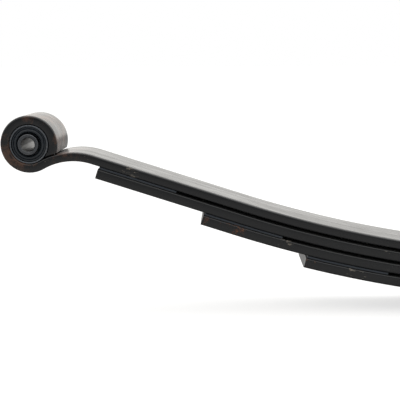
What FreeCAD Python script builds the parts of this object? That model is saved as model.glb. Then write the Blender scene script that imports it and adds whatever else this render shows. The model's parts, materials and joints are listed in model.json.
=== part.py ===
import FreeCAD, Part
import math
import os

# Semi-elliptic leaf spring: four leaves on a centre bolt, an upturned eye with a
# rubber bush at each end, anti-friction liners under the leaf tips, two rebound clips.
# Millimetres. X runs along the spring with the front eye at -X, Y across it, Z up.
# The origin is on the centre bolt's axis, at the underside of the fourth leaf.

# ---- driving dimensions: the leaves ----
LEAF_WIDTH = 63.5
MAIN_THICKNESS = 9.0
LOWER_THICKNESS = 10.0  # of the second, third and fourth leaf
LEAF_GAP = 2.3  # between one leaf and the next; spacers and liners fill it
EDGE_ROUND = 2.0  # rolled long edges of every leaf
HALF_SPAN = 552.5  # centre bolt to eye centre, level
BOW_RADIUS = 1136.0  # top of the main leaf, centre stretch
FLANK_ANGLE = 17.6  # slope of the straight stretch before the eye
SECOND_TIP_FROM_EYE = 66.4  # tip of the second leaf to the eye centre, level
THIRD_TIP_STEP = 101.9  # each shorter leaf ends this much before the one above
FOURTH_TIP_STEP = 100.0

# ---- driving dimensions: the eyes ----
EYE_BORE = 37.5
EYE_DEPARTURE = 29.5  # how far past its lowest point the leaf leaves the eye
CREST_RADIUS = 62.5  # middle of the main leaf, in the hump beside the eye
WRAP_END_GAP = 1.0  # between the eye's cut end and the leaf under it

# ---- driving dimensions: the bushes ----
SLEEVE_WALL = 1.6
SLEEVE_RECESS = 0.5  # the sleeve ends this far inside the eye, each side
SLEEVE_EDGE = 0.7
TUBE_DIAMETER = 20.0
TUBE_BORE = 13.0
TUBE_PROTRUSION = 3.25  # beyond the leaf, each side
TUBE_EDGE = 0.8
RUBBER_RECESS = 1.0  # rubber face below the sleeve's end
RUBBER_GROOVE_DEPTH = 4.0  # moat round the inner tube
RUBBER_GROOVE_WIDTH = 1.4

# ---- driving dimensions: liners and centre spacers ----
LINER_LENGTH = 78.0
LINER_SETBACK = 1.0  # from the leaf's end to the liner's
LINER_SIDE_INSET = 1.0
LINER_BUTTON_FROM_TIP = 39.0
LINER_BUTTON_DIAMETER = 10.0
LINER_BUTTON_DEPTH = 7.0
SPACER_LENGTH = 90.0

# ---- driving dimensions: centre bolt ----
BOLT_DIAMETER = 10.0
BOLT_HEAD_DIAMETER = 16.0
BOLT_HEAD_HEIGHT = 8.0
BOLT_HEAD_CHAMFER = 1.0
BOLT_END = 4.0  # beyond the nut
BOLT_NUT_FLATS = 17.0
BOLT_NUT_HEIGHT = 8.5

# ---- driving dimensions: rebound clips ----
CLIP_SETBACK = 119.2  # clip middle before the fourth leaf's tip, level
CLIP_WIDTH = 25.0
CLIP_THICKNESS = 4.0
CLIP_BEND = 6.0  # outer radius of the strap's corners
CLIP_BOLT_DIAMETER = 8.0
CLIP_TUBE_DIAMETER = 14.0
CLIP_TOP_ROOM = 2.0  # between the main leaf and the spacer tube
CLIP_HEAD_FLATS = 13.0
CLIP_HEAD_HEIGHT = 5.5
CLIP_NUT_HEIGHT = 6.5
CLIP_BOLT_END = 3.0
RIVET_DIAMETER = 8.0
RIVET_HEAD_DIAMETER = 14.0
RIVET_HEAD_HEIGHT = 4.0
RIVET_SINK_DIAMETER = 12.0
RIVET_SINK_DEPTH = 2.5

# ---- named clearances ----
PRESS_ROOM = 0.05  # drawn between faces that are pressed or clamped together
LINER_ROOM = 0.1  # liner to leaf, above and below
BUTTON_ROOM = 0.25  # round the liner's button
BOLT_HOLE_ROOM = 0.3  # round a bolt or rivet
CLIP_SIDE_ROOM = 1.0  # strap to the leaves' sides
CLIP_TUBE_ROOM = 0.2  # spacer tube to each leg of the strap

# ---- what follows from them ----
HALF_WIDTH = LEAF_WIDTH / 2
FLANK = math.radians(FLANK_ANGLE)
SECOND_TOP = MAIN_THICKNESS + LEAF_GAP  # depths below the main leaf's top
THIRD_TOP = SECOND_TOP + LOWER_THICKNESS + LEAF_GAP
FOURTH_TOP = THIRD_TOP + LOWER_THICKNESS + LEAF_GAP
STACK = FOURTH_TOP + LOWER_THICKNESS
BOW_CENTRE_Z = STACK + BOW_RADIUS
BOW_LENGTH = BOW_RADIUS * FLANK
EYE_INNER = EYE_BORE / 2
EYE_OUTER = EYE_INNER + MAIN_THICKNESS
EYE_MIDDLE = EYE_INNER + MAIN_THICKNESS / 2
SECOND_TIP = HALF_SPAN - SECOND_TIP_FROM_EYE
THIRD_TIP = SECOND_TIP - THIRD_TIP_STEP
FOURTH_TIP = THIRD_TIP - FOURTH_TIP_STEP
CLIP_X = FOURTH_TIP - CLIP_SETBACK
TUBE_LENGTH = LEAF_WIDTH + 2 * TUBE_PROTRUSION
SLEEVE_RADIUS = EYE_INNER - PRESS_ROOM
SLEEVE_LENGTH = LEAF_WIDTH - 2 * SLEEVE_RECESS
RUBBER_LENGTH = SLEEVE_LENGTH - 2 * RUBBER_RECESS

X_AXIS = FreeCAD.Vector(1, 0, 0)
Y_AXIS = FreeCAD.Vector(0, 1, 0)
Z_AXIS = FreeCAD.Vector(0, 0, 1)
ORIGIN = FreeCAD.Vector(0, 0, 0)


# ---- the spring's line: x outward from the centre bolt, z up ----
def point(x, z):
    return FreeCAD.Vector(x, -HALF_WIDTH, z)


def on_line(station, depth):
    """A point by its distance along the main leaf's top and its depth below that top."""
    angle = min(station / BOW_RADIUS, FLANK)
    x = (BOW_RADIUS + depth) * math.sin(angle)
    z = BOW_CENTRE_Z - (BOW_RADIUS + depth) * math.cos(angle)
    beyond = max(station - BOW_LENGTH, 0.0)
    return x + beyond * math.cos(FLANK), z + beyond * math.sin(FLANK)


def slope(station):
    return math.degrees(min(station / BOW_RADIUS, FLANK))


def station_at(x, depth):
    """The station whose point at that depth is at x."""
    bow_end = (BOW_RADIUS + depth) * math.sin(FLANK)
    if x <= bow_end:
        return BOW_RADIUS * math.asin(x / (BOW_RADIUS + depth))
    return BOW_LENGTH + (x - bow_end) / math.cos(FLANK)


def eye_centre():
    """Level with the end of the flank, plus the crest and the rise into the eye."""
    departure = math.radians(EYE_DEPARTURE)
    run = (EYE_MIDDLE + CREST_RADIUS) * math.sin(departure) + CREST_RADIUS * math.sin(FLANK)
    middle = MAIN_THICKNESS / 2
    flank_end = HALF_SPAN - run
    _, z = on_line(station_at(flank_end, middle), middle)
    rise = (EYE_MIDDLE + CREST_RADIUS) * math.cos(departure) - CREST_RADIUS * math.cos(FLANK)
    return HALF_SPAN, z + rise


EYE_X, EYE_Z = eye_centre()
CLIP_STATION = station_at(CLIP_X, STACK)


def crest_centre():
    """The middle of the hump beside the eye, below the leaf, in line with the eye's centre."""
    away = EYE_MIDDLE + CREST_RADIUS
    departure = math.radians(EYE_DEPARTURE)
    return EYE_X - away * math.sin(departure), EYE_Z - away * math.cos(departure)


def crest_point(offset, degrees):
    """A point on the hump, offset above the leaf's middle; it ends where the eye begins."""
    x, z = crest_centre()
    turn = math.radians(degrees)
    radius = CREST_RADIUS + offset
    return x + radius * math.sin(turn), z + radius * math.cos(turn)


def arc(a, b, c):
    return Part.Arc(point(*a), point(*b), point(*c)).toShape()


def line(a, b):
    return Part.LineSegment(point(*a), point(*b)).toShape()


def bow_edge(end_station, depth):
    """One arc across the middle, between the two mirrored ends."""
    x, z = on_line(min(end_station, BOW_LENGTH), depth)
    return arc((-x, z), on_line(0.0, depth), (x, z))


def crest_arc(offset):
    middle = (EYE_DEPARTURE - FLANK_ANGLE) / 2
    return arc(
        crest_point(offset, -FLANK_ANGLE),
        crest_point(offset, middle),
        crest_point(offset, EYE_DEPARTURE),
    )


def main_half_edges():
    """The main leaf's outline from the bow's end to where the eye begins, both surfaces."""
    half = MAIN_THICKNESS / 2
    return [
        line(on_line(BOW_LENGTH, 0.0), crest_point(half, -FLANK_ANGLE)),
        crest_arc(half),
        line(crest_point(half, EYE_DEPARTURE), crest_point(-half, EYE_DEPARTURE)),
        crest_arc(-half),
        line(crest_point(-half, -FLANK_ANGLE), on_line(BOW_LENGTH, MAIN_THICKNESS)),
    ]


def mirrored(shape):
    return shape.mirror(ORIGIN, X_AXIS)


def extrude_outline(edges, width):
    face = Part.Face(Part.Wire(Part.__sortEdges__(edges)))
    solid = face.extrude(Y_AXIS * width)
    solid.translate(Y_AXIS * (HALF_WIDTH - width / 2))
    return solid


def round_long_edges(solid, thickness):
    """Rolls the edges that run along both sides, and leaves the cut ends sharp."""
    edges = []
    for edge in solid.Edges:
        on_side = edge.BoundBox.YLength < 1e-6
        is_end = abs(edge.Length - thickness) < 1e-4
        if on_side and not is_end:
            edges.append(edge)
    return solid.makeFillet(EDGE_ROUND, edges)


def along_stack(station, depth, solid):
    """Moves a solid drawn at the origin (x outward, z up) onto the spring's line."""
    x, z = on_line(station, depth)
    turn = FreeCAD.Rotation(Y_AXIS, -slope(station))
    placed = solid.copy()
    placed.Placement = FreeCAD.Placement(FreeCAD.Vector(x, 0, z), turn)
    return placed


def drill(diameter, height):
    """A long cylinder through the origin, for holes along Z."""
    return Part.makeCylinder(diameter / 2, 2 * height, FreeCAD.Vector(0, 0, -height), Z_AXIS)


def centre_hole():
    return drill(BOLT_DIAMETER + 2 * BOLT_HOLE_ROOM, 2 * STACK)


def along_y(radius, length):
    """A bar or hole on the rear eye's axis."""
    start = FreeCAD.Vector(EYE_X, -length / 2, EYE_Z)
    return Part.makeCylinder(radius, length, start, Y_AXIS)


# ---- leaves ----
def eye_wrap():
    """The rolled ring, open where its cut end stands off the leaf (rear side)."""
    ring = along_y(EYE_OUTER, LEAF_WIDTH).cut(along_y(EYE_INNER, LEAF_WIDTH))
    circles = [edge for edge in ring.Edges if edge.BoundBox.YLength < 1e-6]
    ring = ring.makeFillet(EDGE_ROUND, circles)
    x, z = crest_centre()
    reach = CREST_RADIUS + MAIN_THICKNESS / 2 + WRAP_END_GAP
    size = 2 * (reach + EYE_OUTER)
    hump = Part.makeCylinder(reach, size, FreeCAD.Vector(x, -size / 2, z), Y_AXIS)
    inboard = Part.makeBox(size, size, size, FreeCAD.Vector(-size, -size / 2, 0))
    turn = FreeCAD.Rotation(Y_AXIS, EYE_DEPARTURE)
    inboard.Placement = FreeCAD.Placement(FreeCAD.Vector(x, 0, z), turn)
    return ring.cut(hump.common(inboard))


def main_leaf():
    side = main_half_edges()
    edges = [bow_edge(BOW_LENGTH, 0.0), bow_edge(BOW_LENGTH, MAIN_THICKNESS)]
    edges += side + [mirrored(edge) for edge in side]
    bar = round_long_edges(extrude_outline(edges, LEAF_WIDTH), MAIN_THICKNESS)
    wrap = eye_wrap()
    leaf = bar.fuse([wrap, mirrored(wrap)]).removeSplitter()
    return leaf.cut(centre_hole())


def strip_edges(station, top, under):
    """The outline of a bar that follows the spring's line between two depths."""
    edges = [bow_edge(station, top), bow_edge(station, under)]
    tip = [line(on_line(station, top), on_line(station, under))]
    if station > BOW_LENGTH:
        for depth in (top, under):
            tip.append(line(on_line(BOW_LENGTH, depth), on_line(station, depth)))
    return edges + tip + [mirrored(edge) for edge in tip]


def lower_leaf(tip_x, top):
    under = top + LOWER_THICKNESS
    station = station_at(tip_x, top)
    solid = extrude_outline(strip_edges(station, top, under), LEAF_WIDTH)
    solid = round_long_edges(solid, LOWER_THICKNESS).cut(centre_hole())
    hole = drill(LINER_BUTTON_DIAMETER + 2 * BUTTON_ROOM, LOWER_THICKNESS + LEAF_GAP)
    hole = along_stack(station - LINER_BUTTON_FROM_TIP, top, hole)
    return solid.cut([hole, mirrored(hole)])


def rivet_hole():
    """Through the fourth leaf, countersunk on its top."""
    shaft = drill(RIVET_DIAMETER + 2 * BOLT_HOLE_ROOM, 2 * LOWER_THICKNESS)
    sink = Part.makeCone(
        RIVET_DIAMETER / 2 + BOLT_HOLE_ROOM,
        RIVET_SINK_DIAMETER / 2 + BOLT_HOLE_ROOM,
        RIVET_SINK_DEPTH,
        FreeCAD.Vector(0, 0, -RIVET_SINK_DEPTH),
        Z_AXIS,
    )
    mouth = Part.makeCylinder(RIVET_SINK_DIAMETER / 2 + BOLT_HOLE_ROOM, LEAF_GAP / 2)
    hole = shaft.fuse([sink, mouth])
    return along_stack(CLIP_STATION, FOURTH_TOP, hole)


def fourth_leaf():
    hole = rivet_hole()
    return lower_leaf(FOURTH_TIP, FOURTH_TOP).cut([hole, mirrored(hole)])


# ---- between the leaves ----
def centre_spacer(under_depth):
    """Fills the gap whose lower side is the top of the leaf at that depth."""
    top = under_depth - LEAF_GAP + PRESS_ROOM
    under = under_depth - PRESS_ROOM
    solid = extrude_outline(strip_edges(SPACER_LENGTH / 2, top, under), LEAF_WIDTH)
    return solid.cut(centre_hole())


def tip_liner(tip_x, leaf_top):
    """A strip on the leaf's tip, held by a button in the leaf's hole (rear side)."""
    tip = station_at(tip_x, leaf_top)
    outer = tip - LINER_SETBACK
    inner = outer - LINER_LENGTH
    top = leaf_top - LEAF_GAP + LINER_ROOM
    under = leaf_top - LINER_ROOM
    edges = [
        line(on_line(outer, top), on_line(outer, under)),
        line(on_line(inner, top), on_line(inner, under)),
    ]
    for depth in (top, under):
        edges += run_edges(inner, outer, depth)
    solid = extrude_outline(edges, LEAF_WIDTH - 2 * LINER_SIDE_INSET)
    button_height = LINER_BUTTON_DEPTH + LEAF_GAP / 2
    low = Z_AXIS * -LINER_BUTTON_DEPTH
    button = Part.makeCylinder(LINER_BUTTON_DIAMETER / 2, button_height, low, Z_AXIS)
    button = along_stack(tip - LINER_BUTTON_FROM_TIP, leaf_top, button)
    cap_limit = extrude_outline(edges_above(inner, outer, top), LEAF_WIDTH)
    return solid.fuse(button).cut(cap_limit).removeSplitter()


def run_edges(inner, outer, depth):
    """The line between two stations on one side: an arc, a straight run, or both."""
    edges = []
    if inner < BOW_LENGTH:
        end = min(outer, BOW_LENGTH)
        middle = on_line((inner + end) / 2, depth)
        edges.append(arc(on_line(inner, depth), middle, on_line(end, depth)))
    if outer > BOW_LENGTH:
        edges.append(line(on_line(max(inner, BOW_LENGTH), depth), on_line(outer, depth)))
    return edges


def edges_above(inner, outer, depth):
    """A closed outline over the liner, used to trim the button flush with its top."""
    above = depth - 3 * LEAF_GAP
    edges = [
        line(on_line(outer, above), on_line(outer, depth)),
        line(on_line(inner, above), on_line(inner, depth)),
    ]
    return edges + run_edges(inner, outer, depth) + run_edges(inner, outer, above)


# ---- bushes, drawn at the rear eye ----
def circular_edges(solid, radius):
    found = []
    for edge in solid.Edges:
        curve = edge.Curve
        if isinstance(curve, Part.Circle) and abs(curve.Radius - radius) < 1e-6:
            found.append(edge)
    return found


def bush_sleeve():
    inside = along_y(SLEEVE_RADIUS - SLEEVE_WALL, SLEEVE_LENGTH)
    tube = along_y(SLEEVE_RADIUS, SLEEVE_LENGTH).cut(inside)
    return tube.makeFillet(SLEEVE_EDGE, circular_edges(tube, SLEEVE_RADIUS))


def bush_rubber():
    hole = TUBE_DIAMETER / 2 + PRESS_ROOM
    body = along_y(SLEEVE_RADIUS - SLEEVE_WALL, RUBBER_LENGTH).cut(along_y(hole, RUBBER_LENGTH))
    for side in (-1, 1):
        start_y = side * RUBBER_LENGTH / 2
        base = FreeCAD.Vector(EYE_X, start_y, EYE_Z)
        inward = Y_AXIS * -side
        moat = Part.makeCylinder(hole + RUBBER_GROOVE_WIDTH, RUBBER_GROOVE_DEPTH, base, inward)
        body = body.cut(moat)
    return body


def bush_tube():
    tube = along_y(TUBE_DIAMETER / 2, TUBE_LENGTH).cut(along_y(TUBE_BORE / 2, TUBE_LENGTH))
    tube = tube.makeFillet(TUBE_EDGE, circular_edges(tube, TUBE_DIAMETER / 2))
    return tube.makeChamfer(TUBE_EDGE, circular_edges(tube, TUBE_BORE / 2))


# ---- centre bolt ----
def hexagon(flats, height, base, direction):
    """A hexagonal bar with its corners chamfered at the far end."""
    corner = flats / math.sqrt(3)
    points = []
    for i in range(7):
        turn = math.radians(60 * i)
        points.append(FreeCAD.Vector(corner * math.cos(turn), corner * math.sin(turn), 0))
    bar = Part.Face(Part.makePolygon(points)).extrude(Z_AXIS * height)
    cut = corner - flats / 2
    wide = flats / 2 + height + cut
    cone = Part.makeCone(wide, flats / 2, height + cut, Z_AXIS * -cut, Z_AXIS)
    bar = bar.common(cone)
    turn = FreeCAD.Rotation(Z_AXIS, direction)
    bar.Placement = FreeCAD.Placement(base, turn)
    return bar


def nut_lift():
    """The main leaf's top is hollow, so a flat nut rests on its rim a little higher."""
    return BOLT_NUT_FLATS**2 / (3 * 2 * BOW_RADIUS) + PRESS_ROOM


def centre_bolt():
    top = STACK + nut_lift() + BOLT_NUT_HEIGHT + BOLT_END
    shank = Part.makeCylinder(BOLT_DIAMETER / 2, top)
    head_base = FreeCAD.Vector(0, 0, -BOLT_HEAD_HEIGHT)
    head = Part.makeCylinder(BOLT_HEAD_DIAMETER / 2, BOLT_HEAD_HEIGHT, head_base, Z_AXIS)
    low = [e for e in head.Edges if e.BoundBox.ZMax < -BOLT_HEAD_HEIGHT + 1e-6]
    head = head.makeChamfer(BOLT_HEAD_CHAMFER, low)
    return head.fuse(shank).removeSplitter()


def centre_bolt_nut():
    nut = hexagon(BOLT_NUT_FLATS, BOLT_NUT_HEIGHT, Z_AXIS * (STACK + nut_lift()), Z_AXIS)
    return nut.cut(drill(BOLT_DIAMETER + 2 * PRESS_ROOM, 2 * STACK))


# ---- rebound clip, drawn at the origin: x outward, z up from the fourth leaf's underside ----
LEG_INNER = HALF_WIDTH + CLIP_SIDE_ROOM
LEG_OUTER = LEG_INNER + CLIP_THICKNESS
CLIP_BOLT_Z = STACK + CLIP_TOP_ROOM + CLIP_TUBE_DIAMETER / 2


def clip_bar(diameter, length):
    """A cylinder on the clip bolt's axis, centred on the spring."""
    start = FreeCAD.Vector(0, -length / 2, CLIP_BOLT_Z)
    return Part.makeCylinder(diameter / 2, length, start, Y_AXIS)


def clip_strap():
    base = Part.makeBox(CLIP_WIDTH, 2 * LEG_OUTER, CLIP_BOLT_Z + CLIP_THICKNESS + PRESS_ROOM)
    base.translate(FreeCAD.Vector(-CLIP_WIDTH / 2, -LEG_OUTER, -CLIP_THICKNESS - PRESS_ROOM))
    corners = []
    for edge in base.Edges:
        box = edge.BoundBox
        if box.XLength > CLIP_WIDTH - 1e-6 and box.ZMax < 0:
            corners.append(edge)
    base = base.makeFillet(CLIP_BEND, corners)
    ends = clip_bar(CLIP_WIDTH, 2 * LEG_OUTER)
    outside = base.fuse(ends)
    room = Part.makeBox(2 * CLIP_WIDTH, 2 * LEG_INNER, 2 * CLIP_BOLT_Z)
    room.translate(FreeCAD.Vector(-CLIP_WIDTH, -LEG_INNER, -PRESS_ROOM))
    across = clip_bar(CLIP_BOLT_DIAMETER + 2 * BOLT_HOLE_ROOM, 4 * LEG_OUTER)
    rivet = drill(RIVET_DIAMETER + 2 * BOLT_HOLE_ROOM, 2 * CLIP_THICKNESS)
    return outside.cut([room, across, rivet]).removeSplitter()


def clip_rivet():
    """Countersunk flush in the fourth leaf's top, domed under the strap."""
    under = -CLIP_THICKNESS - 2 * PRESS_ROOM
    shank_length = LOWER_THICKNESS - under
    shank = Part.makeCylinder(RIVET_DIAMETER / 2, shank_length, Z_AXIS * under, Z_AXIS)
    sink = Part.makeCone(
        RIVET_DIAMETER / 2,
        RIVET_SINK_DIAMETER / 2,
        RIVET_SINK_DEPTH,
        FreeCAD.Vector(0, 0, LOWER_THICKNESS - RIVET_SINK_DEPTH),
        Z_AXIS,
    )
    half = RIVET_HEAD_DIAMETER / 2
    radius = (half**2 + RIVET_HEAD_HEIGHT**2) / (2 * RIVET_HEAD_HEIGHT)
    ball = Part.makeSphere(radius, FreeCAD.Vector(0, 0, under - RIVET_HEAD_HEIGHT + radius))
    keep = Part.makeBox(4 * radius, 4 * radius, 4 * radius)
    keep.translate(FreeCAD.Vector(-2 * radius, -2 * radius, under - 4 * radius))
    return shank.fuse([sink, ball.common(keep)]).removeSplitter()


def clip_bolt():
    length = 2 * LEG_OUTER + 2 * PRESS_ROOM + CLIP_NUT_HEIGHT + CLIP_BOLT_END
    start = FreeCAD.Vector(0, -LEG_OUTER - PRESS_ROOM, CLIP_BOLT_Z)
    shank = Part.makeCylinder(CLIP_BOLT_DIAMETER / 2, length, start, Y_AXIS)
    head = hexagon(CLIP_HEAD_FLATS, CLIP_HEAD_HEIGHT, start, -Y_AXIS)
    return shank.fuse(head).removeSplitter()


def clip_nut():
    base = FreeCAD.Vector(0, LEG_OUTER + PRESS_ROOM, CLIP_BOLT_Z)
    nut = hexagon(CLIP_HEAD_FLATS, CLIP_NUT_HEIGHT, base, Y_AXIS)
    return nut.cut(clip_bar(CLIP_BOLT_DIAMETER + 2 * PRESS_ROOM, 4 * LEG_OUTER))


def clip_tube():
    length = 2 * (LEG_INNER - CLIP_TUBE_ROOM)
    bore = CLIP_BOLT_DIAMETER + 2 * BOLT_HOLE_ROOM
    return clip_bar(CLIP_TUBE_DIAMETER, length).cut(clip_bar(bore, length))


CLIP_PIECES = {
    "clip_strap": clip_strap,
    "clip_rivet": clip_rivet,
    "clip_bolt": clip_bolt,
    "clip_nut": clip_nut,
    "clip_tube": clip_tube,
}
BUSH_PIECES = {"bush_sleeve": bush_sleeve, "bush_rubber": bush_rubber, "bush_tube": bush_tube}
LINERS = {
    "tip_liner_upper": (SECOND_TIP, SECOND_TOP),
    "tip_liner_middle": (THIRD_TIP, THIRD_TOP),
    "tip_liner_lower": (FOURTH_TIP, FOURTH_TOP),
}


def end_pieces():
    """Everything that the rear half has and the front half mirrors."""
    pieces = {name: make() for name, make in BUSH_PIECES.items()}
    for name, (tip_x, top) in LINERS.items():
        pieces[name] = tip_liner(tip_x, top)
    for name, make in CLIP_PIECES.items():
        pieces[name] = along_stack(CLIP_STATION, STACK, make())
    return pieces


def all_pieces():
    pieces = {
        "main_leaf": main_leaf(),
        "second_leaf": lower_leaf(SECOND_TIP, SECOND_TOP),
        "third_leaf": lower_leaf(THIRD_TIP, THIRD_TOP),
        "fourth_leaf": fourth_leaf(),
        "centre_spacer_upper": centre_spacer(SECOND_TOP),
        "centre_spacer_middle": centre_spacer(THIRD_TOP),
        "centre_spacer_lower": centre_spacer(FOURTH_TOP),
        "centre_bolt": centre_bolt(),
        "centre_bolt_nut": centre_bolt_nut(),
    }
    for name, shape in end_pieces().items():
        pieces["rear_" + name] = shape
        pieces["front_" + name] = mirrored(shape)
    return pieces


os.makedirs("parts", exist_ok=True)
for node, shape in all_pieces().items():
    solids = shape.Solids
    print(f"{node}: {len(solids)} solid, {shape.Volume / 1000:.1f} cm3, valid {shape.isValid()}")
    body = solids[0] if len(solids) == 1 else shape
    body.exportStep(os.path.join("parts", node + ".step"))
print(f"eye centre x {EYE_X:.2f} z {EYE_Z:.2f}, stack {STACK:.2f}, clip x {CLIP_X:.2f}")
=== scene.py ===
# %% [markdown]
# # A leaf spring, cell by cell
# Four black leaves lie on one another, held by a bolt through their middle. The longest
# one rolls up into an eye at each end, and a rubber bush sits in each eye. Thin plastic
# liners keep the leaf tips from rubbing, and two clips hold the pack together on rebound.
# The engineering model is already made and packed. Everything here is built round it, in
# the same place and at the same size; the bushes, the centre bolt and its nut ride on its bodies.

# %% Load the imported model
import json
import math

import bmesh
import bpy
from mathutils import Matrix, Vector

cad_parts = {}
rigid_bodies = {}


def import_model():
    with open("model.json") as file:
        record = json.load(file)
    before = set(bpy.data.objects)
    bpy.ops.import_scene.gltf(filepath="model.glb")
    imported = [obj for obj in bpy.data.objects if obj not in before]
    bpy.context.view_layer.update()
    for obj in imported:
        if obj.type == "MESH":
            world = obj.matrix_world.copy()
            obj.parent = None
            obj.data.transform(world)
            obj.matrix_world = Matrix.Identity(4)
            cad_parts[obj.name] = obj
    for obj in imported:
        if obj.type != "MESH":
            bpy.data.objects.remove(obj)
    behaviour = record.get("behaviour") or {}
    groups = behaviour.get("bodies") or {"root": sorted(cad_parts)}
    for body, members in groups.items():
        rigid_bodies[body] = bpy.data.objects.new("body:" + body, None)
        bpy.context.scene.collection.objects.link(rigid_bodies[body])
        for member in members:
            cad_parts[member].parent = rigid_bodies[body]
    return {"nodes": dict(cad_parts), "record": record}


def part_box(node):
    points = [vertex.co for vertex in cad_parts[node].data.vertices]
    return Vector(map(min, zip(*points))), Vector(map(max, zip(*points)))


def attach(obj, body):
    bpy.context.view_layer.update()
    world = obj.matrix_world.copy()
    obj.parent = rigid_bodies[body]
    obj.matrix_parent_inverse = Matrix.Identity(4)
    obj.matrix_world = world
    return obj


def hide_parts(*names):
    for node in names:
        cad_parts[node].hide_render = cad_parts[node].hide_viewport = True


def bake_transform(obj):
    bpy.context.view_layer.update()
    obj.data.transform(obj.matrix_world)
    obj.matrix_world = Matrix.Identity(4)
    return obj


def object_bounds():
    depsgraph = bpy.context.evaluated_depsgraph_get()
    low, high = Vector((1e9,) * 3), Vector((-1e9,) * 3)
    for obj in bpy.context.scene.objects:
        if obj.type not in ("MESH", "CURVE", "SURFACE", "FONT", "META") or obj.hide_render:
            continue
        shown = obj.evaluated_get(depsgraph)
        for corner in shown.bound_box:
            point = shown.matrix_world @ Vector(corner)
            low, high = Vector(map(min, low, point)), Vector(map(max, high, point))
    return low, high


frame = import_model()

cad_low, cad_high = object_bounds()
print("engineering box", [round(v, 4) for v in (*cad_low, *cad_high)])

# %% [markdown]
# ## The spring's line
# A spring maker lays a spring out as one curve: a bow of constant radius over the middle,
# a straight flank, a small hump, and then the eye. Every leaf and liner follows that curve
# at its own depth. So the curve is two short functions, and a leaf is only a depth, a
# thickness and a tip. Lengths are metres; `x` runs outward from the centre bolt. The widths,
# the eyes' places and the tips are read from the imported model.

# %% Sizes of the leaves
LEAF_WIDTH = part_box("main_leaf")[1].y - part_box("main_leaf")[0].y
MAIN_THICKNESS = 0.009
LOWER_THICKNESS = 0.010
LEAF_GAP = 0.0023
EDGE_ROUND = 0.002
SIDE_BULGE = 0.00035  # a rolled bar's sides are a little rounder than flat
BOW_RADIUS = 1.136
FLANK = math.radians(17.6)
EYE_BORE = 0.0375
EYE_DEPARTURE = math.radians(29.5)
CREST_RADIUS = 0.0625
WRAP_END_GAP = 0.001

STACK = 3 * (LEAF_GAP + LOWER_THICKNESS) + MAIN_THICKNESS
BOW_CENTRE_Z = STACK + BOW_RADIUS
BOW_LENGTH = BOW_RADIUS * FLANK
EYE_MIDDLE = (EYE_BORE + MAIN_THICKNESS) / 2
mounts = {mount["name"]: mount for mount in frame["record"]["mounts"]}
EYE_X = mounts["rear_eye_bore"]["pos_m"][0]
EYE_Z = mounts["rear_eye_bore"]["pos_m"][2]
print(f"leaf {LEAF_WIDTH:.4f} wide, eyes at {EYE_X:.4f}, {EYE_Z:.4f}, stack {STACK:.4f}")


# %% The line itself
def on_line(station, depth):
    """(x, z) by distance along the main leaf's top and depth below that top."""
    angle = min(station / BOW_RADIUS, FLANK)
    x = (BOW_RADIUS + depth) * math.sin(angle)
    z = BOW_CENTRE_Z - (BOW_RADIUS + depth) * math.cos(angle)
    beyond = max(station - BOW_LENGTH, 0.0)
    return x + beyond * math.cos(FLANK), z + beyond * math.sin(FLANK)


def station_at(x, depth):
    """The distance along the line whose point at that depth is at x."""
    bow_end = (BOW_RADIUS + depth) * math.sin(FLANK)
    if x <= bow_end:
        return BOW_RADIUS * math.asin(x / (BOW_RADIUS + depth))
    return BOW_LENGTH + (x - bow_end) / math.cos(FLANK)


def spread(first, last, step):
    """Evenly spaced values from first to last, about a step apart, both ends included."""
    count = max(1, round(abs(last - first) / step))
    return [first + (last - first) * i / count for i in range(count + 1)]


PATH_STEP = 0.004  # between points along a leaf
TURN_STEP = math.radians(3)  # between points round the eye


def strip_path(start, end, depth):
    """Points along the line between two stations, at one depth."""
    return [on_line(station, depth) for station in spread(start, end, PATH_STEP)]


def main_path():
    """The main leaf's middle, from the centre bolt, over the hump and round the eye."""
    middle = MAIN_THICKNESS / 2
    away = EYE_MIDDLE + CREST_RADIUS
    crest_x = EYE_X - away * math.sin(EYE_DEPARTURE)
    crest_z = EYE_Z - away * math.cos(EYE_DEPARTURE)
    flank_end = station_at(crest_x - CREST_RADIUS * math.sin(FLANK), middle)
    points = strip_path(0.0, flank_end, middle)[:-1]
    for turn in spread(-FLANK, EYE_DEPARTURE, TURN_STEP)[:-1]:
        x = crest_x + CREST_RADIUS * math.sin(turn)
        points.append((x, crest_z + CREST_RADIUS * math.cos(turn)))
    for turn in spread(-EYE_DEPARTURE, wrap_end(EYE_MIDDLE), TURN_STEP):
        x = EYE_X + EYE_MIDDLE * math.sin(turn)
        points.append((x, EYE_Z - EYE_MIDDLE * math.cos(turn)))
    return points


def wrap_end(radius):
    """Where the eye's cut end is, as a turn from straight down, at a distance from the axis.

    The cut is parallel to the hump under it, so it comes later near the bore.
    """
    away = EYE_MIDDLE + CREST_RADIUS
    reach = CREST_RADIUS + MAIN_THICKNESS / 2 + WRAP_END_GAP
    cosine = (radius**2 + away**2 - reach**2) / (2 * away * radius)
    return 2 * math.pi - EYE_DEPARTURE - math.acos(min(1.0, cosine))


print(f"main leaf line has {len(main_path())} points; its end is cut at "
      f"{math.degrees(wrap_end(EYE_MIDDLE)):.1f} degrees")

# %% [markdown]
# ## Small helpers for node trees
# The world, the finishes and the shapes below are all node trees, so the few steps they
# share come first: make a node, set or join a socket, and the usual sums, noises and mixes.

# %% Nodes and sockets
def new_node(tree, kind, **settings):
    made = tree.nodes.new(kind)
    for key, value in settings.items():
        setattr(made, key, value)
    return made


def feed(tree, target, source):
    """Sets an input socket, from another socket or to a plain value."""
    if isinstance(source, bpy.types.NodeSocket):
        tree.links.new(source, target)
    else:
        target.default_value = source


def math_node(tree, operation, first, second=0.0):
    made = new_node(tree, "ShaderNodeMath", operation=operation)
    feed(tree, made.inputs[0], first)
    feed(tree, made.inputs[1], second)
    return made.outputs[0]


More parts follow.
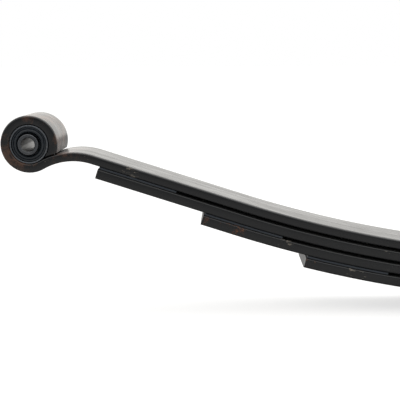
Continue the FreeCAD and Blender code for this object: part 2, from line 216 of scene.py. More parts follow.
# %% Steps, noises and mixes
def smooth_step(tree, value, low, high):
    """0 below low, 1 above high, smooth between."""
    made = new_node(tree, "ShaderNodeMapRange", interpolation_type="SMOOTHSTEP")
    feed(tree, made.inputs["Value"], value)
    feed(tree, made.inputs["From Min"], low)
    feed(tree, made.inputs["From Max"], high)
    return made.outputs["Result"]


def noise(tree, vector, scale, detail=3.0, roughness=0.55):
    made = new_node(tree, "ShaderNodeTexNoise")
    feed(tree, made.inputs["Vector"], vector)
    feed(tree, made.inputs["Scale"], scale)
    feed(tree, made.inputs["Detail"], detail)
    feed(tree, made.inputs["Roughness"], roughness)
    return made.outputs["Fac"]


def stretched(tree, vector, factors):
    """The same place with each axis multiplied, so that a pattern is drawn out."""
    made = new_node(tree, "ShaderNodeVectorMath", operation="MULTIPLY")
    feed(tree, made.inputs[0], vector)
    feed(tree, made.inputs[1], factors)
    return made.outputs[0]


def mix_colour(tree, factor, first, second):
    made = new_node(tree, "ShaderNodeMix", data_type="RGBA")
    feed(tree, made.inputs["Factor"], factor)
    feed(tree, made.inputs["A"], first)
    feed(tree, made.inputs["B"], second)
    return made.outputs["Result"]


def mix_value(tree, factor, first, second):
    made = new_node(tree, "ShaderNodeMix", data_type="FLOAT")
    feed(tree, made.inputs["Factor"], factor)
    feed(tree, made.inputs["A"], first)
    feed(tree, made.inputs["B"], second)
    return made.outputs["Result"]


# %% [markdown]
# ## Camera, light and floor
# The spring is seen from just above, nearly square on, with the front eye at the left.
# A long lens from under a metre keeps the leaves' edges almost parallel. Black gloss paint
# shows hardly anything but what it mirrors: the tops look nearly white because they mirror
# the bright wall behind at a flat angle, and the sides stay dark because the room on the
# camera's side is dim. So the light is a world that is bright above and behind, and dimmer
# in front, with one broad soft lamp overhead.

# %% Camera
EYE = Vector((-EYE_X, 0, EYE_Z))
CAMERA_OFFSET = Vector((0.1882, -0.89395, 0.0796))  # from the front eye
CAMERA_RIGHT = Vector((0.99965, 0.02626, -0.00407))
CAMERA_FORWARD = Vector((-0.02658, 0.98784, -0.15315))
CAMERA_LENS = 81.24

camera = bpy.data.objects.new("camera", bpy.data.cameras.new("camera"))
bpy.context.scene.collection.objects.link(camera)
camera.data.lens = CAMERA_LENS
camera.data.sensor_width = 36
CAMERA_UP = CAMERA_RIGHT.cross(CAMERA_FORWARD)
aim = Matrix((CAMERA_RIGHT, CAMERA_UP, -CAMERA_FORWARD)).transposed().to_4x4()
camera.matrix_world = Matrix.Translation(EYE + CAMERA_OFFSET) @ aim
bpy.context.scene.camera = camera
print("camera at", [round(v, 3) for v in camera.matrix_world.translation])

# %% World, lamp and floor
WALL_BRIGHT = 1.45  # above and behind the spring
WALL_DIM = 0.12  # on the camera's side
WALL_WARM = (1, 0.985, 0.95, 1)
WALL_COOL = (0.9, 0.96, 1, 1)
WALL_SEEN = 1.0  # what the camera itself sees, and the floor with it
FLOOR_GREY = 0.34  # the floor as the spring mirrors it
FLOOR_Z = cad_low.z - 0.0005  # just clear of the centre bolt's head


def build_world():
    world = bpy.data.worlds.new("studio")
    world.use_nodes = True
    tree = world.node_tree
    tree.nodes.clear()
    direction = new_node(tree, "ShaderNodeTexCoord")
    split = new_node(tree, "ShaderNodeSeparateXYZ")
    feed(tree, split.inputs[0], direction.outputs["Generated"])
    lean = math_node(tree, "ADD", split.outputs["Y"], split.outputs["Z"])
    share = smooth_step(tree, lean, -0.9, 0.5)
    seen = new_node(tree, "ShaderNodeLightPath").outputs["Is Camera Ray"]
    strength = mix_value(tree, share, WALL_DIM, WALL_BRIGHT)
    colour = mix_colour(tree, share, WALL_COOL, WALL_WARM)
    back = new_node(tree, "ShaderNodeBackground")
    feed(tree, back.inputs["Color"], mix_colour(tree, seen, colour, (1, 1, 1, 1)))
    feed(tree, back.inputs["Strength"], mix_value(tree, seen, strength, WALL_SEEN))
    out = new_node(tree, "ShaderNodeOutputWorld")
    feed(tree, out.inputs["Surface"], back.outputs[0])
    return world


def build_floor():
    bpy.ops.mesh.primitive_plane_add(size=60, location=(0, 0, FLOOR_Z))
    floor = bpy.context.object
    floor.name = "floor"
    material = bpy.data.materials.new("pale_floor")
    material.use_nodes = True
    tree = material.node_tree
    shader = tree.nodes["Principled BSDF"]
    shader.inputs["Base Color"].default_value = (FLOOR_GREY, FLOOR_GREY, FLOOR_GREY, 1)
    shader.inputs["Roughness"].default_value = 0.8
    shader.inputs["Specular IOR Level"].default_value = 0.0
    seen = new_node(tree, "ShaderNodeLightPath").outputs["Is Camera Ray"]
    feed(tree, shader.inputs["Emission Color"], (WALL_SEEN, WALL_SEEN, WALL_SEEN, 1))
    lift = math_node(tree, "MULTIPLY", seen, WALL_SEEN - FLOOR_GREY)
    feed(tree, shader.inputs["Emission Strength"], lift)
    floor.data.materials.append(material)
    return floor


bpy.context.scene.world = build_world()
bpy.context.scene.view_settings.view_transform = "Standard"
build_floor()
lamp = bpy.data.objects.new("soft_lamp", bpy.data.lights.new("soft_lamp", "AREA"))
bpy.context.scene.collection.objects.link(lamp)
lamp.data.shape = "RECTANGLE"
lamp.data.size = 2.4
lamp.data.size_y = 1.2
lamp.data.energy = 22
lamp.matrix_world = Matrix.Translation((0, 0.5, 1.9)) @ Matrix.Rotation(-0.25, 4, "X")
print("floor at", round(FLOOR_Z, 4))

# %% [markdown]
# ## Shared effects
# The same few things happen to every metal piece: paint has a fine skin, edges rub bare,
# damp spots rust, handling leaves scuffs, and dust settles on what faces up. Each is a
# small node group with named values, made once. A group gives only masks, colours and
# heights; the shader itself stays in each material.


# %% Helpers for node groups
def new_group(name, inputs, outputs):
    """A shader group with float or vector inputs; returns it with its two end nodes."""
    tree = bpy.data.node_groups.new(name, "ShaderNodeTree")
    for label, kind, value in inputs:
        socket = tree.interface.new_socket(label, in_out="INPUT", socket_type=kind)
        if value is not None:
            socket.default_value = value
    for label, kind in outputs:
        tree.interface.new_socket(label, in_out="OUTPUT", socket_type=kind)
    return tree, new_node(tree, "NodeGroupInput"), new_node(tree, "NodeGroupOutput")


VECTOR = "NodeSocketVector"
FLOAT = "NodeSocketFloat"
COLOUR = "NodeSocketColor"


# %% Skin: the fine relief of paint or rolled steel
def build_skin():
    tree, given, out = new_group(
        "Surface skin",
        [("Position", VECTOR, None), ("Grain", FLOAT, 900.0), ("Waves", FLOAT, 60.0),
         ("Wave Share", FLOAT, 0.5)],
        [("Height", FLOAT), ("Blotch", FLOAT)],
    )
    place = given.outputs["Position"]
    fine = noise(tree, place, given.outputs["Grain"], 2.0)
    broad = noise(tree, stretched(tree, place, (0.35, 1, 1)), given.outputs["Waves"], 3.0)
    both = mix_value(tree, given.outputs["Wave Share"], fine, broad)
    feed(tree, out.inputs["Height"], both)
    feed(tree, out.inputs["Blotch"], broad)
    return tree


# %% Edge wear: bare spots where an edge has been rubbed
def build_edge_wear():
    tree, given, out = new_group(
        "Edge wear",
        [("Position", VECTOR, None), ("Edge", FLOAT, 0.0), ("Amount", FLOAT, 0.4),
         ("Grain", FLOAT, 300.0)],
        [("Mask", FLOAT)],
    )
    place = given.outputs["Position"]
    patches = noise(tree, stretched(tree, place, (0.3, 1, 1)), 70.0, 2.0)
    chips = noise(tree, place, given.outputs["Grain"], 4.0, 0.7)
    rough = math_node(tree, "MULTIPLY", patches, chips)
    wanted = math_node(tree, "MULTIPLY", given.outputs["Amount"], 0.4)
    level = math_node(tree, "SUBTRACT", 0.5, wanted)
    bare = smooth_step(tree, rough, level, math_node(tree, "ADD", level, 0.05))
    feed(tree, out.inputs["Mask"], math_node(tree, "MULTIPLY", bare, given.outputs["Edge"]))
    return tree


# %% Rust: blooms with an orange rim and a dark heart
def build_rust():
    tree, given, out = new_group(
        "Rust bloom",
        [("Position", VECTOR, None), ("Where", FLOAT, 0.3), ("Size", FLOAT, 110.0)],
        [("Mask", FLOAT), ("Colour", COLOUR), ("Height", FLOAT)],
    )
    place = given.outputs["Position"]
    bloom = noise(tree, place, given.outputs["Size"], 5.0, 0.65)
    speck = noise(tree, place, math_node(tree, "MULTIPLY", given.outputs["Size"], 6.0), 3.0, 0.7)
    mixed = mix_value(tree, 0.42, bloom, speck)
    wanted = math_node(tree, "MULTIPLY", given.outputs["Where"], 0.45)
    level = math_node(tree, "SUBTRACT", 0.82, wanted)
    mask = smooth_step(tree, mixed, level, math_node(tree, "ADD", level, 0.1))
    shades = new_node(tree, "ShaderNodeValToRGB")
    shades.color_ramp.elements[0].position = 0.3
    shades.color_ramp.elements[0].color = (0.035, 0.012, 0.007, 1)
    shades.color_ramp.elements[1].position = 0.62
    shades.color_ramp.elements[1].color = (0.22, 0.08, 0.03, 1)
    feed(tree, shades.inputs["Fac"], speck)
    feed(tree, out.inputs["Mask"], mask)
    feed(tree, out.inputs["Colour"], shades.outputs["Color"])
    feed(tree, out.inputs["Height"], math_node(tree, "MULTIPLY", mask, speck))
    return tree


# %% Scuffs: short pale rubs drawn out along the piece
def build_scuffs():
    tree, given, out = new_group(
        "Scuffs",
        [("Position", VECTOR, None), ("Amount", FLOAT, 0.3), ("Length", FLOAT, 0.12)],
        [("Mask", FLOAT)],
    )
    place = given.outputs["Position"]
    drawn = new_node(tree, "ShaderNodeCombineXYZ")
    feed(tree, drawn.inputs["X"], given.outputs["Length"])
    feed(tree, drawn.inputs["Y"], 1.0)
    feed(tree, drawn.inputs["Z"], 1.0)
    lines = noise(tree, stretched(tree, place, drawn.outputs[0]), 650.0, 3.0, 0.7)
    groups = noise(tree, place, 38.0, 2.0)
    both = math_node(tree, "MULTIPLY", lines, groups)
    wanted = math_node(tree, "MULTIPLY", given.outputs["Amount"], 0.25)
    level = math_node(tree, "SUBTRACT", 0.5, wanted)
    mask = smooth_step(tree, both, level, math_node(tree, "ADD", level, 0.06))
    feed(tree, out.inputs["Mask"], mask)
    return tree


# %% Dust: settles where the surface faces up
def build_dust():
    tree, given, out = new_group(
        "Settled dust",
        [("Position", VECTOR, None), ("Amount", FLOAT, 0.3)],
        [("Mask", FLOAT)],
    )
    facing = new_node(tree, "ShaderNodeNewGeometry")
    split = new_node(tree, "ShaderNodeSeparateXYZ")
    feed(tree, split.inputs[0], facing.outputs["Normal"])
    upward = smooth_step(tree, split.outputs["Z"], 0.4, 1.0)
    drift = smooth_step(tree, noise(tree, given.outputs["Position"], 55.0, 5.0, 0.7), 0.4, 0.75)
    both = math_node(tree, "MULTIPLY", upward, drift)
    feed(tree, out.inputs["Mask"], math_node(tree, "MULTIPLY", both, given.outputs["Amount"]))
    return tree


GROUPS = {
    "skin": build_skin(),
    "wear": build_edge_wear(),
    "rust": build_rust(),
    "scuffs": build_scuffs(),
    "dust": build_dust(),
}
print("shared effects:", ", ".join(group.name for group in GROUPS.values()))

# %% [markdown]
# ## Finishes
# Every finish is a Principled shader fed by those groups. The leaves are black chassis
# paint over rolled steel: near-black, semi-gloss, with a slight orange peel. Each leaf
# carries values of its own, stored on its mesh. `edge` rises to 1 on the rolled corners,
# where bare steel shows, and `cut` towards a sheared end, where rust starts. `eye` rises
# towards the eye, where the paint has browned in patches. `rub` adds scuffs at chosen places
# along the sides. One more value is 1 on a top that lies under another leaf. There the paint
# is turned near-black and dull, which is painted shade for the dark gap between the leaves.


# %% One function for all the finishes
# Roughness of each mark; the last two go with the painted shade on leaf tops under another leaf
# and in the tube's bore.
ROUGH = {"bare": 0.45, "rubbed": 0.6, "dust": 0.75, "rust": 0.85, "hidden": 1.0, "bore": 0.32}
DUST_COLOUR = (0.17, 0.155, 0.135, 1)
RUST_HEIGHT = 0.00012
BUMP_STRENGTH = 0.6
SURFACE_IOR = 1.5


def use_group(tree, key, place, **values):
    made = new_node(tree, "ShaderNodeGroup", node_tree=GROUPS[key])
    feed(tree, made.inputs["Position"], place)
    for label, value in values.items():
        feed(tree, made.inputs[label.replace("_", " ")], value)
    return made.outputs


def attribute(tree, name):
    return new_node(tree, "ShaderNodeAttribute", attribute_name=name).outputs["Fac"]


def finish(name, base, second, roughness, rough_spread, metallic=0.0, **effects):
    """A material from two base colours, a roughness and the shared effects it names."""
    material = bpy.data.materials.new(name)
    material.use_nodes = True
    tree = material.node_tree
    shader = tree.nodes["Principled BSDF"]
    place = new_node(tree, "ShaderNodeTexCoord").outputs["Object"]
    skin = use_group(tree, "skin", place, **effects.get("skin", {}))
    colour = mix_colour(tree, skin["Blotch"], (*base, 1), (*second, 1))
    rough = mix_value(tree, skin["Blotch"], roughness - rough_spread, roughness + rough_spread)
    if "streaks" in effects:
        drawn = stretched(tree, place, (0.05, 1, 0.4))
        streak = smooth_step(tree, noise(tree, drawn, effects["streaks"], 4.0, 0.6), 0.3, 0.7)
        rough = math_node(tree, "ADD", rough, math_node(tree, "MULTIPLY", streak, 0.1))
    if "warmed" in effects:
        patchy = smooth_step(tree, noise(tree, place, 48.0, 5.0, 0.7), 0.47, 0.62)
        warmth = math_node(tree, "MULTIPLY", attribute(tree, "eye"), patchy)
        colour = mix_colour(tree, warmth, colour, (*effects["warmed"], 1))
    metal = metallic
    height = math_node(tree, "MULTIPLY", skin["Height"], effects.get("relief", 0.00006))
    if "wear" in effects:
        edge = attribute(tree, "edge")
        bare = use_group(tree, "wear", place, Edge=edge, **effects["wear"])["Mask"]
        colour = mix_colour(tree, bare, colour, (*effects["bare"], 1))
        rough = mix_value(tree, bare, rough, ROUGH["bare"])
    if "scuffs" in effects:
        values = dict(effects["scuffs"])
        if "rub_gain" in effects:
            rubbing = math_node(tree, "MULTIPLY", attribute(tree, "rub"), effects["rub_gain"])
            values["Amount"] = math_node(tree, "ADD", rubbing, values["Amount"])
        rub = use_group(tree, "scuffs", place, **values)["Mask"]
        colour = mix_colour(tree, rub, colour, (*effects.get("rubbed", (0.16, 0.15, 0.14)), 1))
        rough = mix_value(tree, rub, rough, ROUGH["rubbed"])
    if "dust" in effects:
        dust = use_group(tree, "dust", place, **effects["dust"])["Mask"]
        colour = mix_colour(tree, dust, colour, DUST_COLOUR)
        rough = mix_value(tree, dust, rough, ROUGH["dust"])
    if "rust" in effects:
        values = dict(effects["rust"])
        if "rust_gain" in effects:
            near = math_node(tree, "MULTIPLY", attribute(tree, "cut"), effects["rust_gain"])
            values["Where"] = math_node(tree, "ADD", near, values["Where"])
        bloom = use_group(tree, "rust", place, **values)
        colour = mix_colour(tree, bloom["Mask"], colour, bloom["Colour"])
        rough = mix_value(tree, bloom["Mask"], rough, ROUGH["rust"])
        crust = math_node(tree, "MULTIPLY", bloom["Height"], RUST_HEIGHT)
        height = math_node(tree, "ADD", height, crust)
        if metallic:
            metal = mix_value(tree, bloom["Mask"], metallic, 0.0)
    # Painted shade: a top that lies under another leaf is turned near-black and fully rough, so
    # the gap between the leaves looks dark.
    if "covered" in effects:
        hidden = attribute(tree, "hidden")
        colour = mix_colour(tree, hidden, colour, (*effects["covered"], 1))
        rough = mix_value(tree, hidden, rough, ROUGH["hidden"])
    # Painted shade: inside the tube's bore the colour is turned near-black and the metal is taken
    # out, so the bore reads as a dark recess.
    if "bore" in effects:
        inside = attribute(tree, "bore")
        colour = mix_colour(tree, inside, colour, (*effects["bore"], 1))
        rough = mix_value(tree, inside, rough, ROUGH["bore"])
        metal = mix_value(tree, inside, metal, 0.0)
    bump = new_node(tree, "ShaderNodeBump")
    bump.inputs["Strength"].default_value = BUMP_STRENGTH
    bump.inputs["Distance"].default_value = 1.0
    feed(tree, bump.inputs["Height"], height)
    feed(tree, shader.inputs["Base Color"], colour)
    feed(tree, shader.inputs["Roughness"], rough)
    feed(tree, shader.inputs["Metallic"], metal)
    feed(tree, shader.inputs["Normal"], bump.outputs[0])
    shader.inputs["IOR"].default_value = SURFACE_IOR
    return material


# %% The finishes themselves
LEAF_PAINT = finish(
    "leaf_paint", (0.0065, 0.007, 0.0085), (0.011, 0.0115, 0.013), 0.2, 0.04,
    skin={"Grain": 1300.0, "Waves": 55.0, "Wave Share": 0.35},
    relief=0.00003,
    streaks=110.0,
    warmed=(0.088, 0.044, 0.028),
    wear={"Amount": 0.22},
    bare=(0.1, 0.092, 0.085),
    scuffs={"Amount": 0.33, "Length": 0.2},
    rubbed=(0.19, 0.168, 0.14),
    rub_gain=0.72,
    # near-black painted shade on tops that lie under another leaf, for the gaps between leaves
    covered=(0.004, 0.004, 0.004),
    dust={"Amount": 0.1},
    rust={"Where": 0.12, "Size": 150.0},
    rust_gain=0.55,
)
CLIP_PAINT = finish(
    "clip_paint", (0.012, 0.012, 0.013), (0.022, 0.021, 0.02), 0.42, 0.07,
    skin={"Grain": 900.0, "Waves": 120.0, "Wave Share": 0.4},
    scuffs={"Amount": 0.7, "Length": 0.6},
    dust={"Amount": 0.25},
    rust={"Where": 0.42, "Size": 160.0},
)
SPACER_STEEL = finish(
    "spacer_steel", (0.22, 0.21, 0.2), (0.3, 0.29, 0.27), 0.42, 0.08, metallic=0.9,
    skin={"Grain": 700.0, "Waves": 90.0, "Wave Share": 0.5},
    dust={"Amount": 0.3},
    rust={"Where": 0.6, "Size": 120.0},
)
SLEEVE_STEEL = finish(
    "sleeve_steel", (0.12, 0.132, 0.15), (0.2, 0.212, 0.23), 0.28, 0.07, metallic=1.0,
    skin={"Grain": 1500.0, "Waves": 220.0, "Wave Share": 0.6},
    scuffs={"Amount": 0.5, "Length": 1.0},
    rubbed=(0.25, 0.25, 0.25),
    rust={"Where": 0.45, "Size": 260.0},
)
TUBE_STEEL = finish(
    "tube_steel", (0.085, 0.09, 0.1), (0.15, 0.155, 0.165), 0.28, 0.07, metallic=1.0,
    skin={"Grain": 1600.0, "Waves": 260.0, "Wave Share": 0.6},
    scuffs={"Amount": 0.5, "Length": 1.0},
    rubbed=(0.45, 0.44, 0.43),
    # near-black painted shade inside the bore
    bore=(0.005, 0.005, 0.006),
    rust={"Where": 0.4, "Size": 300.0},
)
BUSH_RUBBER = finish(
    "bush_rubber", (0.013, 0.0165, 0.022), (0.022, 0.028, 0.036), 0.24, 0.07,
    skin={"Grain": 1800.0, "Waves": 200.0, "Wave Share": 0.4},
    dust={"Amount": 0.2},
    scuffs={"Amount": 0.35, "Length": 1.0},
    rubbed=(0.07, 0.07, 0.075),
)
LINER_PLASTIC = finish(
    "liner_plastic", (0.022, 0.028, 0.038), (0.036, 0.043, 0.054), 0.38, 0.08,
    skin={"Grain": 1500.0, "Waves": 150.0, "Wave Share": 0.4},
    scuffs={"Amount": 0.5, "Length": 0.3},
    rubbed=(0.12, 0.125, 0.13),
)
CENTRE_FASTENER = finish(
    "centre_fastener", (0.03, 0.03, 0.032), (0.06, 0.058, 0.055), 0.36, 0.08, metallic=0.85,
    skin={"Grain": 1400.0, "Waves": 240.0, "Wave Share": 0.5},
    scuffs={"Amount": 0.6, "Length": 1.0},
    rust={"Where": 0.42, "Size": 280.0},
)
ZINC_FASTENER = finish(
    "zinc_fastener", (0.46, 0.43, 0.36), (0.6, 0.57, 0.5), 0.32, 0.08, metallic=1.0,
    skin={"Grain": 1500.0, "Waves": 260.0, "Wave Share": 0.5},
    dust={"Amount": 0.3},
    rust={"Where": 0.38, "Size": 300.0},
)
RIVET_STEEL = finish(
    "rivet_steel", (0.03, 0.03, 0.031), (0.07, 0.065, 0.06), 0.42, 0.08, metallic=0.7,
    skin={"Grain": 1300.0, "Waves": 240.0, "Wave Share": 0.5},
    scuffs={"Amount": 0.6, "Length": 1.0},
    rust={"Where": 0.5, "Size": 260.0},
)
print(len(bpy.data.materials), "materials")

# %% [markdown]
# ## Leaves
# A leaf is a rolled bar: one rounded cross-section carried along one line. Geometry Nodes
# does just that, so the tree takes a wire and sweeps the section along it. The section
# keeps two values, `across` and `height`, which travel with it, and the line keeps `along`.
# The same tree makes the thin liners. Each leaf is made as two halves that meet at the
# centre bolt, because each half has to bend towards its own eye when the spring flexes.


# %% Helpers for Geometry Nodes and meshes
def new_tree(name, inputs):
    tree = bpy.data.node_groups.new(name, "GeometryNodeTree")
    for label, kind, value in inputs:
        socket = tree.interface.new_socket(label, in_out="INPUT", socket_type=kind)
        if value is not None:
            socket.default_value = value
    geometry = "NodeSocketGeometry"
    tree.interface.new_socket("Geometry", in_out="OUTPUT", socket_type=geometry)
    return tree, new_node(tree, "NodeGroupInput"), new_node(tree, "NodeGroupOutput")


def link_object(name, mesh):
    made = bpy.data.objects.new(name, mesh)
    bpy.context.scene.collection.objects.link(made)
    return made


def wire_object(name, points):
    """A mesh of edges only, for a tree to follow."""
    mesh = bpy.data.meshes.new(name)
    edges = [(i, i + 1) for i in range(len(points) - 1)]
    mesh.from_pydata(points, edges, [])
    return link_object(name, mesh)


def grown(source, tree, **values):
    """Runs a tree on an object and swaps the object's mesh for the plain result."""
    modifier = source.modifiers.new("grow", "NODES")
    modifier.node_group = tree
    for item in tree.interface.items_tree:
        label = item.name.replace(" ", "_")
        if item.in_out == "INPUT" and label in values:
            modifier[item.identifier] = values[label]
    return baked(source)


def baked(source):
    """Applies what modifiers an object has by reading its evaluated mesh."""
    bpy.context.view_layer.update()
    evaluated = source.evaluated_get(bpy.context.evaluated_depsgraph_get())
    mesh = bpy.data.meshes.new_from_object(evaluated)
    source.modifiers.clear()
    source.data = mesh
    return source


# %% The bar tree
def build_bar_tree():
    tree, given, out = new_tree(
        "Rolled bar",
        [("Path", "NodeSocketGeometry", None), ("Width", FLOAT, 0.06),
         ("Thickness", FLOAT, 0.008), ("Edge Round", FLOAT, 0.002),
         ("Side Bulge", FLOAT, 0.0003), ("Corner Steps", "NodeSocketInt", 4),
         ("Across", VECTOR, (0, 1, 0)),
         ("Finish", "NodeSocketMaterial", None)],
    )
    size = given.outputs
    section = new_node(tree, "GeometryNodeCurvePrimitiveQuadrilateral")
    feed(tree, section.inputs["Width"], size["Width"])
    feed(tree, section.inputs["Height"], size["Thickness"])
    corners = new_node(tree, "GeometryNodeFilletCurve", mode="POLY")
    feed(tree, corners.inputs["Curve"], section.outputs[0])
    feed(tree, corners.inputs["Count"], size["Corner Steps"])
    feed(tree, corners.inputs["Radius"], size["Edge Round"])
    finer = new_node(tree, "GeometryNodeSubdivideCurve")
    feed(tree, finer.inputs["Curve"], corners.outputs[0])
    place = new_node(tree, "GeometryNodeInputPosition")
    split = new_node(tree, "ShaderNodeSeparateXYZ")
    feed(tree, split.inputs[0], place.outputs[0])
    twice_x = math_node(tree, "MULTIPLY", split.outputs["X"], 2.0)
    twice_y = math_node(tree, "MULTIPLY", split.outputs["Y"], 2.0)
    across = math_node(tree, "DIVIDE", twice_x, size["Width"])
    height = math_node(tree, "DIVIDE", twice_y, size["Thickness"])
    section_out = finer.outputs[0]
    for label, value in (("across", across), ("height", height)):
        section_out = stored(tree, section_out, label, value)
    squared = math_node(tree, "MULTIPLY", height, height)
    inward = math_node(tree, "MULTIPLY", math_node(tree, "MULTIPLY", across, squared), -1.0)
    shift = new_node(tree, "ShaderNodeCombineXYZ")
    feed(tree, shift.inputs["X"], math_node(tree, "MULTIPLY", inward, size["Side Bulge"]))
    bulged = new_node(tree, "GeometryNodeSetPosition")
    feed(tree, bulged.inputs["Geometry"], section_out)
    feed(tree, bulged.inputs["Offset"], shift.outputs[0])
    line = new_node(tree, "GeometryNodeMeshToCurve")
    feed(tree, line.inputs["Mesh"], size["Path"])
    upright = new_node(tree, "GeometryNodeSetCurveNormal", mode="FREE")
    feed(tree, upright.inputs["Curve"], line.outputs[0])
    feed(tree, upright.inputs["Normal"], size["Across"])
    parameter = new_node(tree, "GeometryNodeSplineParameter")
    path = stored(tree, upright.outputs[0], "along", parameter.outputs["Length"])
    sweep = new_node(tree, "GeometryNodeCurveToMesh")
    feed(tree, sweep.inputs["Curve"], path)
    feed(tree, sweep.inputs["Profile Curve"], bulged.outputs[0])
    feed(tree, sweep.inputs["Fill Caps"], True)
    finish_tree(tree, out, sweep.outputs[0], size["Finish"])
    return tree


def stored(tree, geometry, label, value):
    made = new_node(tree, "GeometryNodeStoreNamedAttribute", data_type="FLOAT", domain="POINT")
    feed(tree, made.inputs["Geometry"], geometry)
    feed(tree, made.inputs["Name"], label)
    feed(tree, made.inputs["Value"], value)
    return made.outputs[0]


def finish_tree(tree, out, geometry, material):
    """The end of every tree: real geometry, then its material."""
    real = new_node(tree, "GeometryNodeRealizeInstances")
    feed(tree, real.inputs["Geometry"], geometry)
    coat = new_node(tree, "GeometryNodeSetMaterial")
    feed(tree, coat.inputs["Geometry"], real.outputs[0])
    feed(tree, coat.inputs["Material"], material)
    feed(tree, out.inputs["Geometry"], coat.outputs[0])


BAR_TREE = build_bar_tree()
print("bar tree has", len(BAR_TREE.nodes), "nodes")

# %% Bars, their ends and their bend
SIDES = {"front": -1, "rear": 1}
SHARP = math.radians(40)


def smoothed(piece):
    """Smooth shading that keeps flats flat: sharp edges stay, big faces win over small."""
    piece.data.shade_smooth()
    piece.data.set_sharp_from_angle(angle=SHARP)
    modifier = piece.modifiers.new("flats", "WEIGHTED_NORMAL")
    modifier.keep_sharp = True
    modifier.weight = 100
    return baked(piece)


def bent(piece):
    """Bakes a piece's placement into its mesh; nothing here makes it bend."""
    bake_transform(piece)


def bar(name, side, path, width, thickness, edge_round, material, bulge=0.0, after=None,
        damp=0.0, marks=(), covered=False):
    """A bar swept along (x, z) points, outward from the centre bolt, on one side."""
    wire = wire_object(name, [(x, 0, z) for x, z in path])
    grown(wire, BAR_TREE, Width=width, Thickness=thickness, Edge_Round=edge_round,
          Side_Bulge=bulge, Finish=material)
    if after:
        after(wire.data)
    mark_edges(wire.data, width, thickness, damp, marks, covered)
    if SIDES[side] < 0:
        wire.data.transform(Matrix.Scale(-1, 4, (1, 0, 0)))
        wire.data.flip_normals()
    return wire


RUST_REACH = 0.06  # how far rust creeps from a sheared end
EDGE_REACH = 1.2 * EDGE_ROUND  # how far bare metal can show from a corner
EYE_REACH = 2 * EYE_MIDDLE  # distance from the eye's axis that counts as 1
ON_SIDE = 0.96  # share of the half width beyond which a point is on the leaf's side
ON_FACE = 0.999  # share of the half thickness beyond which it is on the flat


def mark_edges(mesh, width, thickness, damp, marks, covered):
    """Stores where wear and painted shade go: edge on rolled corners, cut at damp sheared ends,
    eye near the eye, painted shade on a top that lies under another leaf for the dark gap
    between leaves, and rub or more cut at the marks, each (kind, distance out, reach, strength)."""
    names = ("edge", "cut", "eye", "rub", "hidden")
    for name in names:
        mesh.attributes.new(name, "FLOAT", "POINT")
    fields = {name: mesh.attributes[name].data for name in names}
    across = mesh.attributes["across"].data
    height = mesh.attributes["height"].data
    along = mesh.attributes["along"].data
    end = max(item.value for item in along)
    for i, vertex in enumerate(mesh.vertices):
        from_side = (1 - abs(across[i].value)) * width / 2
        from_face = (1 - abs(height[i].value)) * thickness / 2
        corner = 1 - math.hypot(from_side, from_face) / EDGE_REACH
        place = vertex.co
        from_eye = math.hypot(place.x - EYE_X, place.z - EYE_Z) / EYE_REACH
        values = {"edge": min(1.0, 1.6 * corner), "eye": min(1.0, 1.4 - from_eye), "rub": 0.0,
                  "cut": damp * max(0.0, 1 - (end - along[i].value) / RUST_REACH),
                  "hidden": float(covered and height[i].value > ON_FACE)}
        for kind, centre, reach, strength in marks:
            if kind == "cut" or abs(across[i].value) > ON_SIDE:
                values[kind] += strength * max(0.0, 1 - abs(place.x - centre) / reach)
        for name, value in values.items():
            fields[name][i].value = max(0.0, value)


WRAP_EASE = math.radians(60)  # the last of the wrap, over which its cut end's slant builds up


def shear_wrap(mesh):
    """Turns the last of the wrap, so that its cut end lies parallel to the hump."""
    start = wrap_end(EYE_MIDDLE) - WRAP_EASE
    hump_side = EYE_X - 2 * EYE_MIDDLE
    along = mesh.attributes["along"].data
    wrap_starts = max(item.value for item in along) - EYE_MIDDLE * WRAP_EASE
    for i, vertex in enumerate(mesh.vertices):
        if along[i].value < wrap_starts or vertex.co.x < hump_side:
            continue
        x, z = vertex.co.x - EYE_X, vertex.co.z - EYE_Z
        radius = math.hypot(x, z)
        turn = math.atan2(x, -z) % (2 * math.pi)
        share = min(1.0, (turn - start) / WRAP_EASE)
        eased = share * share * (3 - 2 * share)
        turn += eased * (wrap_end(radius) - wrap_end(EYE_MIDDLE))
        vertex.co.x = EYE_X + radius * math.sin(turn)
        vertex.co.z = EYE_Z - radius * math.cos(turn)


# %% Make the four leaves
LOWER_LEAVES = {
    "second_leaf": MAIN_THICKNESS + LEAF_GAP,
    "third_leaf": MAIN_THICKNESS + LOWER_THICKNESS + 2 * LEAF_GAP,
    "fourth_leaf": MAIN_THICKNESS + 2 * LOWER_THICKNESS + 3 * LEAF_GAP,
}
DAMP_ENDS = {"second_leaf": 0.25, "third_leaf": 1.0, "fourth_leaf": 0.8}
MARKS = {  # handling and damp left these on the front half
    ("main_leaf", "front"): [("rub", 0.455, 0.014, 1.0)],
    ("third_leaf", "front"): [("cut", 0.35, 0.012, 1.05), ("rub", 0.302, 0.022, 1.0)],
    ("fourth_leaf", "front"): [("rub", 0.24, 0.02, 0.5)],
}
leaf_tips = {}
leaf_halves = {}
for leaf, top in LOWER_LEAVES.items():
    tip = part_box(leaf)[1].x
    under_tip = BOW_RADIUS + top + LOWER_THICKNESS
    leaf_tips[leaf] = station_at(tip, top + LOWER_THICKNESS)
    if leaf_tips[leaf] > BOW_LENGTH:
        leaf_tips[leaf] = BOW_LENGTH + (tip - under_tip * math.sin(FLANK)) / math.cos(FLANK)
    for side in SIDES:
        path = strip_path(0.0, leaf_tips[leaf], top + LOWER_THICKNESS / 2)
        leaf_halves[leaf, side] = bar(f"{side}_{leaf}", side, path, LEAF_WIDTH,
                                      LOWER_THICKNESS, EDGE_ROUND, LEAF_PAINT, SIDE_BULGE,
                                      damp=DAMP_ENDS[leaf], marks=MARKS.get((leaf, side), ()),
                                      # each lower leaf's top lies under another leaf and gets the
                                      # painted shade for the gap
                                      covered=True)
